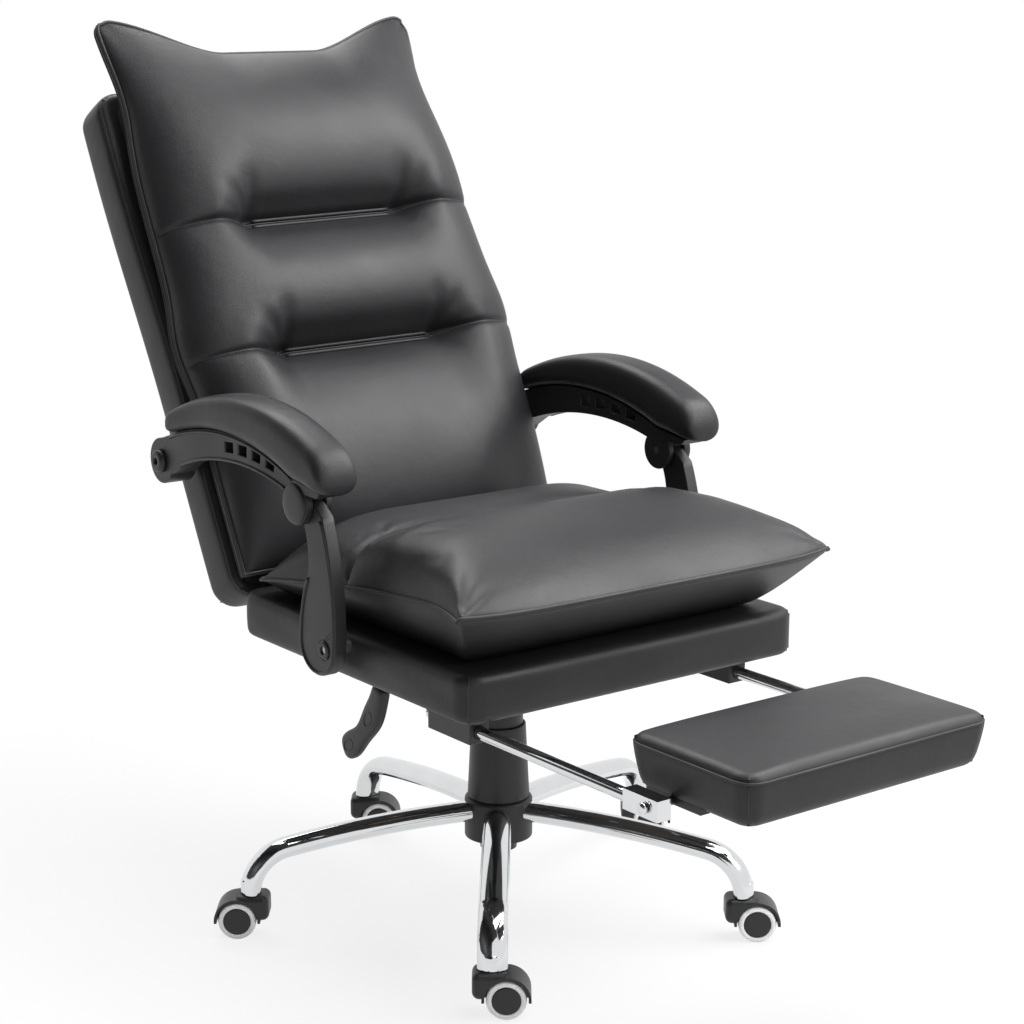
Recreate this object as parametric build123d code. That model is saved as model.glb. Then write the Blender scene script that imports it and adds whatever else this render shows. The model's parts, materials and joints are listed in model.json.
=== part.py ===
"""Reclining office chair with linked armrests, a pull-out flip footrest and a five-star caster base.

Millimetres and degrees. +Z is up, the sitter faces -Y and the sitter's left is +X.
The origin is on the floor, under the axis of the gas lift.
"""

from build123d import *

import os
from math import atan2, cos, degrees, pi, radians, sin

# Fits
RUN = 0.05  # radial room of a pin or shaft that turns or slides
SEAT_GAP = 0.3  # room between faces that only rest near each other

# Star base
LEG_COUNT = 5
FIRST_LEG_HEADING = -127.9
LEG_REACH = 342.0  # lift axis to caster stem
LEG_WIDTH = 38.0
LEG_HEIGHT = 27.0
LEG_ROOT_HEIGHT = 140.0  # tube centre where the leg leaves the hub
LEG_BEND_RUN = 50.0  # length of the steep outer bend
LEG_BEND_DROP = 57.0  # height lost in that bend
HUB_RADIUS = 46.0
HUB_BELOW = 37.0  # underside of the hub below the middle of a leg's root
HUB_HEIGHT = 56.0
COLLAR_RADIUS = 13.0  # upright socket at the end of a leg
COLLAR_HEIGHT = 20.0
SLEEVE_RADIUS = 8.5
SLEEVE_LENGTH = 18.0
SLEEVE_END = 2.0
SWIVEL_GAP = 1.0  # caster hood to leg
COLLAR_ROUND = 5.0
HUB_ROUND = 5.0

# Casters
CASTER_HEADINGS = (-37.0, -37.0, -37.0, -37.0, 143.0)
WHEEL_RADIUS = 25.0
WHEEL_WIDTH = 16.0
WHEEL_CORE_RADIUS = 19.5
WHEEL_SPACING = 5.0  # half of the gap between the two wheels
CASTER_TRAIL = 17.0
AXLE_RADIUS = 4.0
STEM_RADIUS = 5.5
STEM_LENGTH = 27.0
STEM_SEAT = 10.0  # stem held in the hood
HOOD_ROOM = 2.0  # hood to tread
HOOD_WALL = 3.5
HOOD_HUB_RADIUS = 10.0
HOOD_NOSE = 25.0  # hood ahead of the stem
HOOD_NOSE_ROUND = 9.0
HOOD_SIDE_ROOM = 0.5
HOOD_FROM = -5.0
HOOD_TO = 185.0
WHEEL_CAP = 2.0
WHEEL_ROUND = 2.5
CASTER_HEIGHT = 59.0  # floor to the top of the hood boss

# Gas lift and its cover
CYLINDER_RADIUS = 25.0
CYLINDER_FOOT = 86.0
CYLINDER_FLOOR = 12.0
CYLINDER_BELOW = 41.0  # top of the cylinder below the mechanism
PISTON_RADIUS = 14.0
PISTON_FOOT = 138.0
PISTON_ENTRY = 17.0  # piston inside the mechanism
BUTTON_RADIUS = 5.0
BUTTON_SEAT = 10.0
BUTTON_GAP = 0.5
COVER_BELOW = 57.0  # top of the lower cover below the mechanism
COVER_FOOT_RADIUS = 42.0
COVER_TOP_RADIUS = 37.0
COVER_WALL = 3.0
UPPER_COVER_CLEAR = 15.0  # upper cover above the hub
UPPER_COVER_ROOM = 0.6

# Seat
SEAT_UNDER = 379.0  # underside of the seat box
SEAT_HALF_WIDTH = 264.0
SEAT_FRONT = -294.0
SEAT_REAR = 224.0
SEAT_BOX_HEIGHT = 62.0
SEAT_CORNER = 22.0
SEAT_EDGE = 9.0
BOARD_THICKNESS = 12.0
BOARD_MARGIN = 16.0
CLEAT_WIDTH = 24.0
CLEAT_LENGTH = 84.0
CLEAT_HEIGHT = 34.0

# Seat cushion
CUSHION_LIP = 46.0  # front edge ahead of the seat box
CUSHION_REAR = 170.0
CUSHION_TIP = 20.0  # how far the front corners reach out
CUSHION_FOOT_INSET = 20.0
CUSHION_EDGE_FRONT = 77.0  # piping above the seat box, front
CUSHION_EDGE_REAR = 24.0
CUSHION_CROWN = 136.0  # crest above the seat box
CUSHION_CHANNEL = -32.0  # cross seam
CUSHION_CHANNEL_DEPTH = 26.0
CUSHION_SHOULDER = 50.0
CUSHION_REAR_CROWN = 124.0
CUSHION_EDGE_FALL = 1.7
CUSHION_LIP_THICKNESS = 6.0
CUSHION_SHOULDER_SHARE = 0.88
CUSHION_TIP_REACH = 0.35
CUSHION_UNDERCUT = 14.0
CUSHION_STATIONS = (0.0, 0.05, 0.14, 0.28, 0.45, 0.62, 0.78, 0.9, 0.96, 1.0)

# Stuffed panels
PANEL_FULLNESS = 0.7
SHOULDER_BOW = 0.72

# Seat mechanism and lift lever
PLATE_HALF_WIDTH = 100.0
PLATE_HALF_LENGTH = 118.0
PLATE_THICKNESS = 4.0
HOUSING_HALF_WIDTH = 62.0
HOUSING_HALF_LENGTH = 92.0
HOUSING_DEPTH = 56.0
HOUSING_WALL = 3.0
SOCKET_RADIUS = 24.0
BOLT_HEAD_RADIUS = 8.0
BOLT_HEAD_HEIGHT = 5.0
BOLT_SHANK_RADIUS = 4.0
BOLT_INSET = 14.0
LEVER_DROP = 30.0  # lever below the seat box
LEVER_PIVOT = -40.0
LEVER_REACH = 190.0
LEVER_ROD_RADIUS = 5.0
LEVER_EYE = 7.0
LEVER_PIN_RADIUS = 3.0
LEVER_TIP = 4.0
EAR_HALF = 9.0
GRIP_WIDTH = 23.0
GRIP_THICKNESS = 19.0
GRIP_RUN = 84.0
GRIP_DROP = 106.0
GRIP_BOW = 0.3
GRIP_LOBE = 14.0
GRIP_WALL = 6.0
GRIP_ROUND = 4.0

# Back
RECLINE = 27.6  # rest angle of the back from upright
HINGE_BEHIND = 76.0  # recline hinge behind the seat box
HINGE_RISE = 45.0  # recline hinge above the underside of the seat box
HINGE_IN = 24.0  # hinge ahead of the rear skin
BACK_FOOT = -26.0  # lower edge of the back below the hinge
BACK_TOP = 714.0
BACK_INSET = 8.0  # side of the back inside the side of the seat
BACK_PAD_DEPTH = 62.0
BACK_CORNER = 30.0
BACK_EDGE = 12.0
BACK_BOARD_INSET = 16.0
PILLOW_FOOT = -6.0
PILLOW_TIP = 815.0
PILLOW_DIP = 62.0  # how far the top edge sags between the two tips
PILLOW_PROUD = 6.0  # cushion beyond the side of the back
PILLOW_EDGE = 95.0  # piping ahead of the hinge
PILLOW_TIP_EDGE = 76.0
PILLOW_CROWN = 76.0
PILLOW_SHOULDER = 60.0
PILLOW_FOOT_INSET = 26.0
PILLOW_SEAMS = (292.0, 492.0)
PILLOW_SEAM_CROWN = 30.0
PILLOW_SEAM_TUCK = 7.0
PILLOW_END_CROWN = 10.0
PILLOW_SHOULDER_RUN = 48.0
PILLOW_SHOULDER_SHARE = 0.8
PILLOW_STATIONS = (0.0, 0.06, 0.16, 0.32, 0.5, 0.68, 0.84, 0.94)
ARM_BOLT_HOLD = 56.0  # bolt inside the edge of the back

# Recline hinge
HINGE_PLATE = 5.0
HINGE_PLATE_INSET = 82.0  # hinge plates inside the side of the seat
HINGE_LUG_RADIUS = 14.0
HINGE_PIN_RADIUS = 5.0
HINGE_SLOT_ROOM = 4.0
HINGE_FOOT_LENGTH = 110.0
HINGE_FOOT_WIDTH = 36.0
HINGE_STRAP = 26.0
HINGE_TAIL = 96.0  # back plate above the hinge
HINGE_PIN_END = 4.0
SEAT_BEHIND = 4.0  # hinge plate behind the seat box

# Armrests
ARM_CLEAR = 10.0  # armrest to the side of the seat
ARM_THICKNESS = 38.0
ARM_BOLT_UP = 179.0  # rear pivot above the recline hinge, along the back
ARM_FRONT_Y = 0.0
ARM_RISE = 224.0  # front pivot above the underside of the seat box
ARM_LOBE_RADIUS = 31.0
ARM_KNUCKLE_RADIUS = 27.0
ARM_BAND = 36.0
ARM_ARCH = 30.0  # rise of the arch between its ends
ARM_NOSE_RUN = 66.0  # pad ahead of the front pivot
ARM_PAD_WIDTH = 54.0
ARM_PAD_REAR = 24.0
ARM_PAD_CROWN = 42.0
ARM_PAD_EDGE = 8.0
ARM_WINDOWS = 4
ARM_WINDOW_LENGTH = 20.0
ARM_WINDOW_HEIGHT = 13.0
ARM_WINDOW_FROM = 0.48
ARM_WINDOW_STEP = 0.12
ARM_PAD_START = 22.0
ARM_PAD_LIFT = 7.0
ARM_NOSE_FALL = 5.0
ARM_SHELF = 8.0
POST_CLEAR = 19.0  # post to the side of the seat
POST_THICKNESS = 18.0
POST_HEAD_RADIUS = 22.0
POST_SIDE_ROOM = 0.5
POST_HEAD_ROOM = 2.0
POST_NECK_AHEAD = 44.0
POST_NECK_DROP = 12.0
POST_TOE = 24.0
POST_HEEL = 56.0
POST_WAIST = 10.0
POST_SOLE = 36.0
POST_BOW = 10.0
PIVOT_RADIUS = 5.0
PIVOT_SHOULDER = 10.0
PIVOT_HEAD_RADIUS = 12.0
PIVOT_HEAD_HEIGHT = 5.0
LOOP_RUN = 0.1  # radial room of the linkage's last pivot

# Footrest
REST_CLEAR = 25.0  # side of the panel to the middle of a rod
REST_FRONT = -687.0
REST_REAR = -492.0
REST_DROP = 20.0  # underside of the panel below the seat box
REST_THICKNESS = 52.0
REST_CORNER = 16.0
REST_EDGE = 12.0
REST_BOARD = 9.0
REST_BOARD_INSET = 10.0
ROD_INSET = 55.0  # rods inside the side of the seat
ROD_DROP = 27.0  # rods below the seat box
ROD_RADIUS = 8.0
ROD_FRONT = -540.0
ROD_LENGTH = 398.0
GUIDE_FRONT = -243.0
GUIDE_LENGTH = 88.0
GUIDE_WIDTH = 28.0
GUIDE_DROP = 41.0  # underside of a guide below the seat box
CLEVIS_FRONT = -580.0
CLEVIS_LENGTH = 58.0
CLEVIS_WIDTH = 20.0
CLEVIS_HEIGHT = 24.0
FLIP_Y = -560.0
FLIP_PIN_RADIUS = 5.0
STRIP_WIDTH = 14.0
STRIP_HEIGHT = 12.0
STRIP_LENGTH = 90.0
STRIP_GAP = 20.0  # strip to clevis, sideways

# Places worked out from the sizes above
SEAT_TOP = SEAT_UNDER + SEAT_BOX_HEIGHT
CUSHION_HALF_WIDTH = SEAT_HALF_WIDTH
PLATE_UNDER = SEAT_UNDER - PLATE_THICKNESS
HUB_FOOT = LEG_ROOT_HEIGHT - HUB_BELOW
HUB_TOP = HUB_FOOT + HUB_HEIGHT
HOUSING_UNDER = PLATE_UNDER - HOUSING_DEPTH
CYLINDER_TOP = HOUSING_UNDER - CYLINDER_BELOW
PISTON_TOP = HOUSING_UNDER + PISTON_ENTRY
COVER_TOP = HOUSING_UNDER - COVER_BELOW
UPPER_COVER_LENGTH = HOUSING_UNDER - HUB_TOP - UPPER_COVER_CLEAR
LEVER_HEIGHT = SEAT_UNDER - LEVER_DROP
HINGE_Y = SEAT_REAR + HINGE_BEHIND
HINGE_Z = SEAT_UNDER + HINGE_RISE
HINGE_PLATE_X = SEAT_HALF_WIDTH - HINGE_PLATE_INSET
BACK_HALF_WIDTH = SEAT_HALF_WIDTH - BACK_INSET
PILLOW_HALF_WIDTH = BACK_HALF_WIDTH + PILLOW_PROUD
ARM_INNER = SEAT_HALF_WIDTH + ARM_CLEAR
ARM_FRONT_Z = SEAT_UNDER + ARM_RISE
POST_INNER = SEAT_HALF_WIDTH + POST_CLEAR
ROD_X = SEAT_HALF_WIDTH - ROD_INSET
ROD_Z = SEAT_UNDER - ROD_DROP
GUIDE_UNDER = SEAT_UNDER - GUIDE_DROP
REST_HALF_WIDTH = ROD_X - REST_CLEAR
REST_UNDER = SEAT_UNDER - REST_DROP


def along_back(up, ahead):
    """Place (y, z) of a point given along and ahead of the reclined back, from the hinge."""
    lean = radians(RECLINE)
    return (
        HINGE_Y + up * sin(lean) - ahead * cos(lean),
        HINGE_Z + up * cos(lean) + ahead * sin(lean),
    )


BACK_SKIN = -HINGE_IN
BOARD_BACK = BACK_SKIN + BACK_PAD_DEPTH
BOARD_FACE = BOARD_BACK + BOARD_THICKNESS
BACK = Plane(
    origin=(0, HINGE_Y, HINGE_Z),
    x_dir=(1, 0, 0),
    z_dir=(0, -cos(radians(RECLINE)), sin(radians(RECLINE))),
).location
ARM_REAR = along_back(ARM_BOLT_UP, (BOARD_BACK + BOARD_FACE) / 2)
ARM_FRONT = (ARM_FRONT_Y, ARM_FRONT_Z)
POST_FOOT = (
    ARM_FRONT_Y - (ARM_REAR[0] - HINGE_Y),
    ARM_FRONT_Z - (ARM_REAR[1] - HINGE_Z),
)
ARM_OUTER = ARM_INNER + ARM_THICKNESS
POST_OUTER = POST_INNER + POST_THICKNESS
FLIP_Z = ROD_Z


def save(node, *solids):
    """Write the solids of one sub-part."""
    shape = solids[0] if len(solids) == 1 else Compound(list(solids))
    export_step(shape, f"parts/{node}.step")


def slab(outline, x_from, x_to):
    """A side outline drawn in (y, z), from one x to another."""
    return extrude(Plane.YZ.offset(x_from) * outline, amount=x_to - x_from, dir=(1, 0, 0))


def disc(centre, radius):
    """A round side outline about (y, z)."""
    return Pos(*centre) * Circle(radius)


def rod_x(centre, radius, x_from, x_to):
    """A round bar along X through (y, z)."""
    return slab(disc(centre, radius), x_from, x_to)


def tube_z(radius, low, high):
    """An upright cylinder on the lift axis."""
    return Pos(0, 0, low) * Cylinder(radius, high - low, align=(Align.CENTER, Align.CENTER, Align.MIN))


def block(x, y, z):
    """A box between pairs of limits."""
    size = [high - low for low, high in (x, y, z)]
    middle = [(low + high) / 2 for low, high in (x, y, z)]
    return Pos(*middle) * Box(*size)


def both_sides(solid):
    """The solid and its mirror image on the other side of the chair."""
    return solid, mirror(solid, about=Plane.YZ)


# Star base
def leg_headings():
    """Directions of the legs, evenly spread."""
    return [FIRST_LEG_HEADING + index * 360 / LEG_COUNT for index in range(LEG_COUNT)]


def leg():
    """One arched oval tube along +X, cut to the hub and closed by an upright socket."""
    foot = CASTER_HEIGHT + SWIVEL_GAP
    root = (HUB_RADIUS / 2, 0, LEG_ROOT_HEIGHT)
    bend = (LEG_REACH - LEG_BEND_RUN, 0, foot + LEG_BEND_DROP)
    tip = (LEG_REACH, 0, foot)
    arch = TangentArc(root, bend, tangent=(1, 0, 0))
    fall = TangentArc(arch @ 1, tip, tangent=arch % 1)
    section = Plane(root, x_dir=(0, 1, 0), z_dir=arch % 0) * Ellipse(LEG_WIDTH / 2, LEG_HEIGHT / 2)
    tube = sweep(section, path=arch + fall)
    collar = tube_z(COLLAR_RADIUS, foot, foot + COLLAR_HEIGHT)
    collar = fillet(collar.edges().group_by(Axis.Z)[-1], COLLAR_ROUND)
    socket = tube_z(SLEEVE_RADIUS, 0, foot + SLEEVE_LENGTH)
    end = Pos(LEG_REACH, 0, 0)
    below = tube_z(2 * LEG_REACH, 0, foot)
    return tube + end * collar - end * socket - below - tube_z(HUB_RADIUS, 0, HUB_TOP)


def sleeve():
    """Socket liner that the caster stem turns in."""
    low = CASTER_HEIGHT + SWIVEL_GAP
    liner = tube_z(SLEEVE_RADIUS, low, low + SLEEVE_LENGTH)
    return liner - tube_z(STEM_RADIUS + RUN, low, low + SLEEVE_LENGTH - SLEEVE_END)


def make_base():
    hub = tube_z(HUB_RADIUS, HUB_FOOT, HUB_TOP)
    hub = fillet(hub.edges().group_by(Axis.Z)[-1], HUB_ROUND)
    save("base_hub", hub - tube_z(CYLINDER_RADIUS, HUB_FOOT, HUB_TOP))
    one_leg = leg()
    liner = Pos(LEG_REACH, 0, 0) * sleeve()
    save("base_legs", *[Rot(0, 0, heading) * one_leg for heading in leg_headings()])
    save("caster_sleeves", *[Rot(0, 0, heading) * liner for heading in leg_headings()])


# Casters, drawn with the stem on the Z axis and the axle behind it along +X
def across_axle():
    """Upright plane through the axle, square to it."""
    return Plane((CASTER_TRAIL, 0, WHEEL_RADIUS), x_dir=(1, 0, 0), z_dir=(0, -1, 0))


def caster_hood():
    """Rounded cover over the inner half of both wheels, its web and its stem boss."""
    inner = WHEEL_RADIUS + HOOD_ROOM
    outer = inner + HOOD_WALL
    span = HOOD_TO - HOOD_FROM
    half_width = WHEEL_SPACING + WHEEL_WIDTH
    web_half = WHEEL_SPACING - HOOD_SIDE_ROOM
    shell_arc = CenterArc((0, 0), outer, HOOD_FROM, span)
    pie = make_face(Curve() + [shell_arc, Line(shell_arc @ 1, (0, 0)), Line((0, 0), shell_arc @ 0)])
    cover = extrude(across_axle() * pie, amount=half_width, both=True)
    hub = extrude(across_axle() * Circle(HOOD_HUB_RADIUS), amount=web_half, both=True)
    nose = block((-HOOD_NOSE, CASTER_TRAIL), (-half_width, half_width), (WHEEL_RADIUS, CASTER_HEIGHT))
    nose = fillet(nose.edges().filter_by(Axis.Y).sort_by(Axis.X)[:2], HOOD_NOSE_ROUND)
    nose = fillet(nose.edges().filter_by(Axis.Z).sort_by(Axis.X)[:2], HOOD_NOSE_ROUND)
    pocket = extrude(across_axle() * Circle(inner), amount=half_width, both=True)
    pocket -= block((-outer, CASTER_TRAIL + outer), (-web_half, web_half), (-outer, CASTER_HEIGHT))
    axle_hole = extrude(across_axle() * Circle(AXLE_RADIUS), amount=web_half, both=True)
    stem_hole = tube_z(STEM_RADIUS, CASTER_HEIGHT - STEM_SEAT, CASTER_HEIGHT)
    return cover + hub + nose - pocket - axle_hole - stem_hole


def caster_wheel(side):
    """Capped core and its tread, on one side of the web."""
    turned = across_axle().offset(-side * WHEEL_SPACING)
    away = (0, side, 0)
    core = extrude(turned * Circle(WHEEL_CORE_RADIUS), amount=WHEEL_WIDTH, dir=away)
    core -= extrude(turned * Circle(AXLE_RADIUS + RUN), amount=WHEEL_WIDTH - WHEEL_CAP, dir=away)
    ring = extrude(turned * Circle(WHEEL_RADIUS), amount=WHEEL_WIDTH, dir=away)
    ring = fillet(ring.edges(), WHEEL_ROUND)
    ring -= extrude(turned * Circle(WHEEL_CORE_RADIUS), amount=WHEEL_WIDTH, dir=away)
    return core, ring


def caster_pins():
    """Upright stem and cross axle."""
    stem = tube_z(STEM_RADIUS, CASTER_HEIGHT - STEM_SEAT, CASTER_HEIGHT - STEM_SEAT + STEM_LENGTH)
    reach = WHEEL_SPACING + WHEEL_WIDTH - WHEEL_CAP - SEAT_GAP
    return stem, extrude(across_axle() * Circle(AXLE_RADIUS), amount=reach, both=True)


def make_casters():
    hood = caster_hood()
    pins = caster_pins()
    wheels = {"a": caster_wheel(1), "b": caster_wheel(-1)}
    for number, (heading, turn) in enumerate(zip(leg_headings(), CASTER_HEADINGS), 1):
        place = Rot(0, 0, heading) * Pos(LEG_REACH, 0, 0) * Rot(0, 0, turn - heading)
        save(f"caster_{number}_hood", place * hood)
        save(f"caster_{number}_pins", *[place * pin for pin in pins])
        for name, wheel in wheels.items():
            save(f"caster_{number}_wheel_{name}", *[place * solid for solid in wheel])


# Gas lift
def make_lift():
    bore = PISTON_RADIUS + RUN
    cylinder = tube_z(CYLINDER_RADIUS, CYLINDER_FOOT, CYLINDER_TOP)
    save("gas_cylinder", cylinder - tube_z(bore, CYLINDER_FOOT + CYLINDER_FLOOR, CYLINDER_TOP))
    piston = tube_z(PISTON_RADIUS, PISTON_FOOT, PISTON_TOP)
    button_low = PISTON_TOP - BUTTON_SEAT
    button_top = LEVER_HEIGHT - LEVER_ROD_RADIUS - BUTTON_GAP
    save("gas_piston", piston - tube_z(BUTTON_RADIUS + RUN, button_low - BUTTON_SEAT, PISTON_TOP))
    save("gas_button", tube_z(BUTTON_RADIUS, button_low, button_top))
    cover_height = COVER_TOP - HUB_TOP
    lower = Pos(0, 0, HUB_TOP) * Cone(
        COVER_FOOT_RADIUS, COVER_TOP_RADIUS, cover_height, align=(Align.CENTER, Align.CENTER, Align.MIN)
    )
    inside = COVER_TOP_RADIUS - COVER_WALL
    save("column_cover_lower", lower - tube_z(inside, HUB_TOP, COVER_TOP))
    outside = inside - UPPER_COVER_ROOM
    top = HOUSING_UNDER - SEAT_GAP
    upper = tube_z(outside, top - UPPER_COVER_LENGTH, top)
    upper -= tube_z(outside - COVER_WALL, top - UPPER_COVER_LENGTH, top - COVER_WALL)
    save("column_cover_upper", upper - tube_z(PISTON_RADIUS, top - COVER_WALL, top))


# Seat mechanism and its lever
def mechanism_bolts():
    """Places of the four bolts that hold the mechanism to the seat."""
    across = PLATE_HALF_WIDTH - BOLT_INSET
    along = PLATE_HALF_LENGTH - BOLT_INSET
    return [(sx * across, sy * along) for sx in (-1, 1) for sy in (-1, 1)]


def shank(low, high):
    """Shanks of the mechanism bolts between two heights."""
    return [Pos(x, y, 0) * tube_z(BOLT_SHANK_RADIUS, low, high) for x, y in mechanism_bolts()]


def make_mechanism():
    plate = block(
        (-PLATE_HALF_WIDTH, PLATE_HALF_WIDTH),
        (-PLATE_HALF_LENGTH, PLATE_HALF_LENGTH),
        (PLATE_UNDER, SEAT_UNDER),
    )
    plate = fillet(plate.edges().filter_by(Axis.Z), BOLT_INSET)
    housing = block(
        (-HOUSING_HALF_WIDTH, HOUSING_HALF_WIDTH),
        (-HOUSING_HALF_LENGTH, HOUSING_HALF_LENGTH),
        (HOUSING_UNDER, PLATE_UNDER),
    )
    housing = fillet(housing.edges().filter_by(Axis.Z), BOLT_INSET)
    inner_x = HOUSING_HALF_WIDTH - HOUSING_WALL
    inner_y = HOUSING_HALF_LENGTH - HOUSING_WALL
    housing -= block((-inner_x, inner_x), (-inner_y, inner_y), (HOUSING_UNDER + HOUSING_WALL, PLATE_UNDER))
    socket = tube_z(SOCKET_RADIUS, HOUSING_UNDER, PISTON_TOP)
    ear_inner = LEVER_EYE + SEAT_GAP
    ears = [
        block(
            (LEVER_PIVOT - EAR_HALF, LEVER_PIVOT + EAR_HALF),
            sorted((side * ear_inner, side * (ear_inner + HOUSING_WALL))),
            (LEVER_HEIGHT - EAR_HALF, PLATE_UNDER),
        )
        for side in (-1, 1)
    ]
    slot = block(
        (-HOUSING_HALF_WIDTH - HOUSING_WALL, -inner_x + SEAT_GAP),
        (-LEVER_EYE - HOUSING_WALL, LEVER_EYE + HOUSING_WALL),
        (LEVER_HEIGHT - LEVER_EYE - HOUSING_WALL, LEVER_HEIGHT + LEVER_EYE + 2 * HOUSING_WALL),
    )
    body = plate + housing + socket + ears - slot - tube_z(PISTON_RADIUS + RUN, HOUSING_UNDER, PISTON_TOP)
    body -= lever_pin()
    save("seat_mechanism", body - shank(PLATE_UNDER, SEAT_UNDER))
    save("lever_pin", lever_pin())
    heads = [
        Pos(x, y, 0) * tube_z(BOLT_HEAD_RADIUS, PLATE_UNDER - BOLT_HEAD_HEIGHT, PLATE_UNDER)
        for x, y in mechanism_bolts()
    ]
    shanks = shank(PLATE_UNDER, SEAT_UNDER + BOARD_THICKNESS)
    save("mechanism_bolts", *[head + stem for head, stem in zip(heads, shanks)])


def bar_y(x, radius, half_length):
    """A round bar along Y at lever height."""
    return extrude(Pos(x, 0, LEVER_HEIGHT) * (Plane.XZ * Circle(radius)), amount=half_length, both=True)


def lever_pin():
    """Pin that the lift lever rocks on."""
    return bar_y(LEVER_PIVOT, LEVER_PIN_RADIUS, LEVER_EYE + SEAT_GAP + HOUSING_WALL)


def make_lever():
    level = (0, LEVER_HEIGHT)
    rod = rod_x(level, LEVER_ROD_RADIUS, -LEVER_REACH, LEVER_TIP)
    rod += bar_y(LEVER_PIVOT, LEVER_EYE, LEVER_EYE)
    save("lift_lever_rod", rod - bar_y(LEVER_PIVOT, LEVER_PIN_RADIUS + RUN, LEVER_EYE))
    sweep_line = ThreePointArc(
        level, (GRIP_RUN * GRIP_BOW, LEVER_HEIGHT - GRIP_DROP / 2), (GRIP_RUN, LEVER_HEIGHT - GRIP_DROP)
    )
    outer = -LEVER_REACH - GRIP_WALL
    grip = slab(SlotArc(sweep_line, GRIP_WIDTH), outer, outer + GRIP_THICKNESS)
    grip += slab(disc(sweep_line @ 1, GRIP_LOBE), outer, outer + GRIP_THICKNESS)
    grip = fillet(grip.edges().filter_by(GeomType.CIRCLE), GRIP_ROUND)
    save("lift_lever_grip", grip - rod_x(level, LEVER_ROD_RADIUS, -LEVER_REACH, 0))


# Seat
def seat_board():
    """Stained plywood board with a cleat at each side for the armrest posts."""
    middle = (SEAT_FRONT + SEAT_REAR) / 2
    width = 2 * (SEAT_HALF_WIDTH - BOARD_MARGIN)
    depth = SEAT_REAR - SEAT_FRONT - 2 * BOARD_MARGIN
    outline = Pos(0, middle, SEAT_UNDER) * RectangleRounded(width, depth, SEAT_CORNER - BOARD_MARGIN)
    top = SEAT_UNDER + BOARD_THICKNESS
    cleat = block(
        (width / 2 - CLEAT_WIDTH, width / 2),
        (POST_FOOT[0] - CLEAT_LENGTH / 2, POST_FOOT[0] + CLEAT_LENGTH / 2),
        (top, top + CLEAT_HEIGHT),
    )
    return extrude(outline, amount=BOARD_THICKNESS) + both_sides(cleat)


def post_bolt():
    """Shoulder bolt that an armrest post turns on, left side."""
    inside = SEAT_HALF_WIDTH - BOARD_MARGIN - CLEAT_WIDTH
    head = POST_OUTER - PIVOT_HEAD_HEIGHT
    bolt = rod_x(POST_FOOT, PIVOT_RADIUS, inside, head)
    bolt += rod_x(POST_FOOT, PIVOT_SHOULDER, SEAT_HALF_WIDTH, POST_INNER - SEAT_GAP)
    return bolt + rod_x(POST_FOOT, PIVOT_HEAD_RADIUS, head, POST_OUTER)


def soft_section(plane, foot_half, foot, half_width, edge, run, shoulder, crown):
    """Cross section of a stuffed cushion: flat foot, piped edges, rounded shoulders and crowned face."""
    inner = half_width - run
    left_mid = (-half_width + (1 - SHOULDER_BOW) * run, edge + SHOULDER_BOW * (shoulder - edge))
    left, left_top = (-half_width, edge), (-inner, shoulder)
    right, right_top = (half_width, edge), (inner, shoulder)
    edges = [
        Line((-foot_half, foot), left),
        ThreePointArc(left, left_mid, left_top),
        ThreePointArc(left_top, (0, crown), right_top),
        ThreePointArc(right_top, (-left_mid[0], left_mid[1]), right),
        Line(right, (foot_half, foot)),
        Line((foot_half, foot), (-foot_half, foot)),
    ]
    return plane * make_face(Curve() + edges)


def swell(share):
    """Height share of a stuffed panel between two seams."""
    return sin(pi * share) ** PANEL_FULLNESS


def level_plane(distance, height=0.0):
    """Upright plane across the chair, with its own Y axis pointing up."""
    return Plane((0, distance, height), x_dir=(1, 0, 0), z_dir=(0, -1, 0))


def cushion_section(y):
    """Seat cushion cut across at one depth."""
    front = SEAT_FRONT - CUSHION_LIP
    share = (y - front) / (CUSHION_REAR - front)
    edge = CUSHION_EDGE_FRONT - (CUSHION_EDGE_FRONT - CUSHION_EDGE_REAR) * share**CUSHION_EDGE_FALL
    if y < CUSHION_CHANNEL:
        panel, peak = (y - front) / (CUSHION_CHANNEL - front), CUSHION_CROWN
    else:
        panel, peak = (CUSHION_REAR - y) / (CUSHION_REAR - CUSHION_CHANNEL), CUSHION_REAR_CROWN
    low_end = edge + CUSHION_LIP_THICKNESS
    seam = CUSHION_CROWN - CUSHION_CHANNEL_DEPTH
    base = low_end + (seam - low_end) * panel
    crown = base + (peak - (low_end + seam) / 2) * swell(panel)
    shoulder = edge + CUSHION_SHOULDER_SHARE * (crown - edge)
    tip = CUSHION_TIP * max(0.0, 1 - share / CUSHION_TIP_REACH) ** 2
    overhang = max(0.0, (SEAT_FRONT + CUSHION_UNDERCUT - y) / (CUSHION_LIP + CUSHION_UNDERCUT))
    foot = (edge - CUSHION_LIP_THICKNESS) * overhang
    foot_half = CUSHION_HALF_WIDTH - CUSHION_FOOT_INSET
    half_width = CUSHION_HALF_WIDTH + tip
    plane = level_plane(y, SEAT_TOP)
    return soft_section(plane, foot_half, foot, half_width, edge, CUSHION_SHOULDER, shoulder, crown)


def seat_cushion():
    """Pillow-topped seat cushion with a front roll, a cross seam and a lower rear part."""
    front = SEAT_FRONT - CUSHION_LIP
    roll = [front + share * (CUSHION_CHANNEL - front) for share in CUSHION_STATIONS]
    rear = [CUSHION_CHANNEL + (1 - share) * (CUSHION_REAR - CUSHION_CHANNEL) for share in CUSHION_STATIONS]
    return loft([cushion_section(y) for y in sorted(set(roll + rear))], ruled=True)


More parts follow.
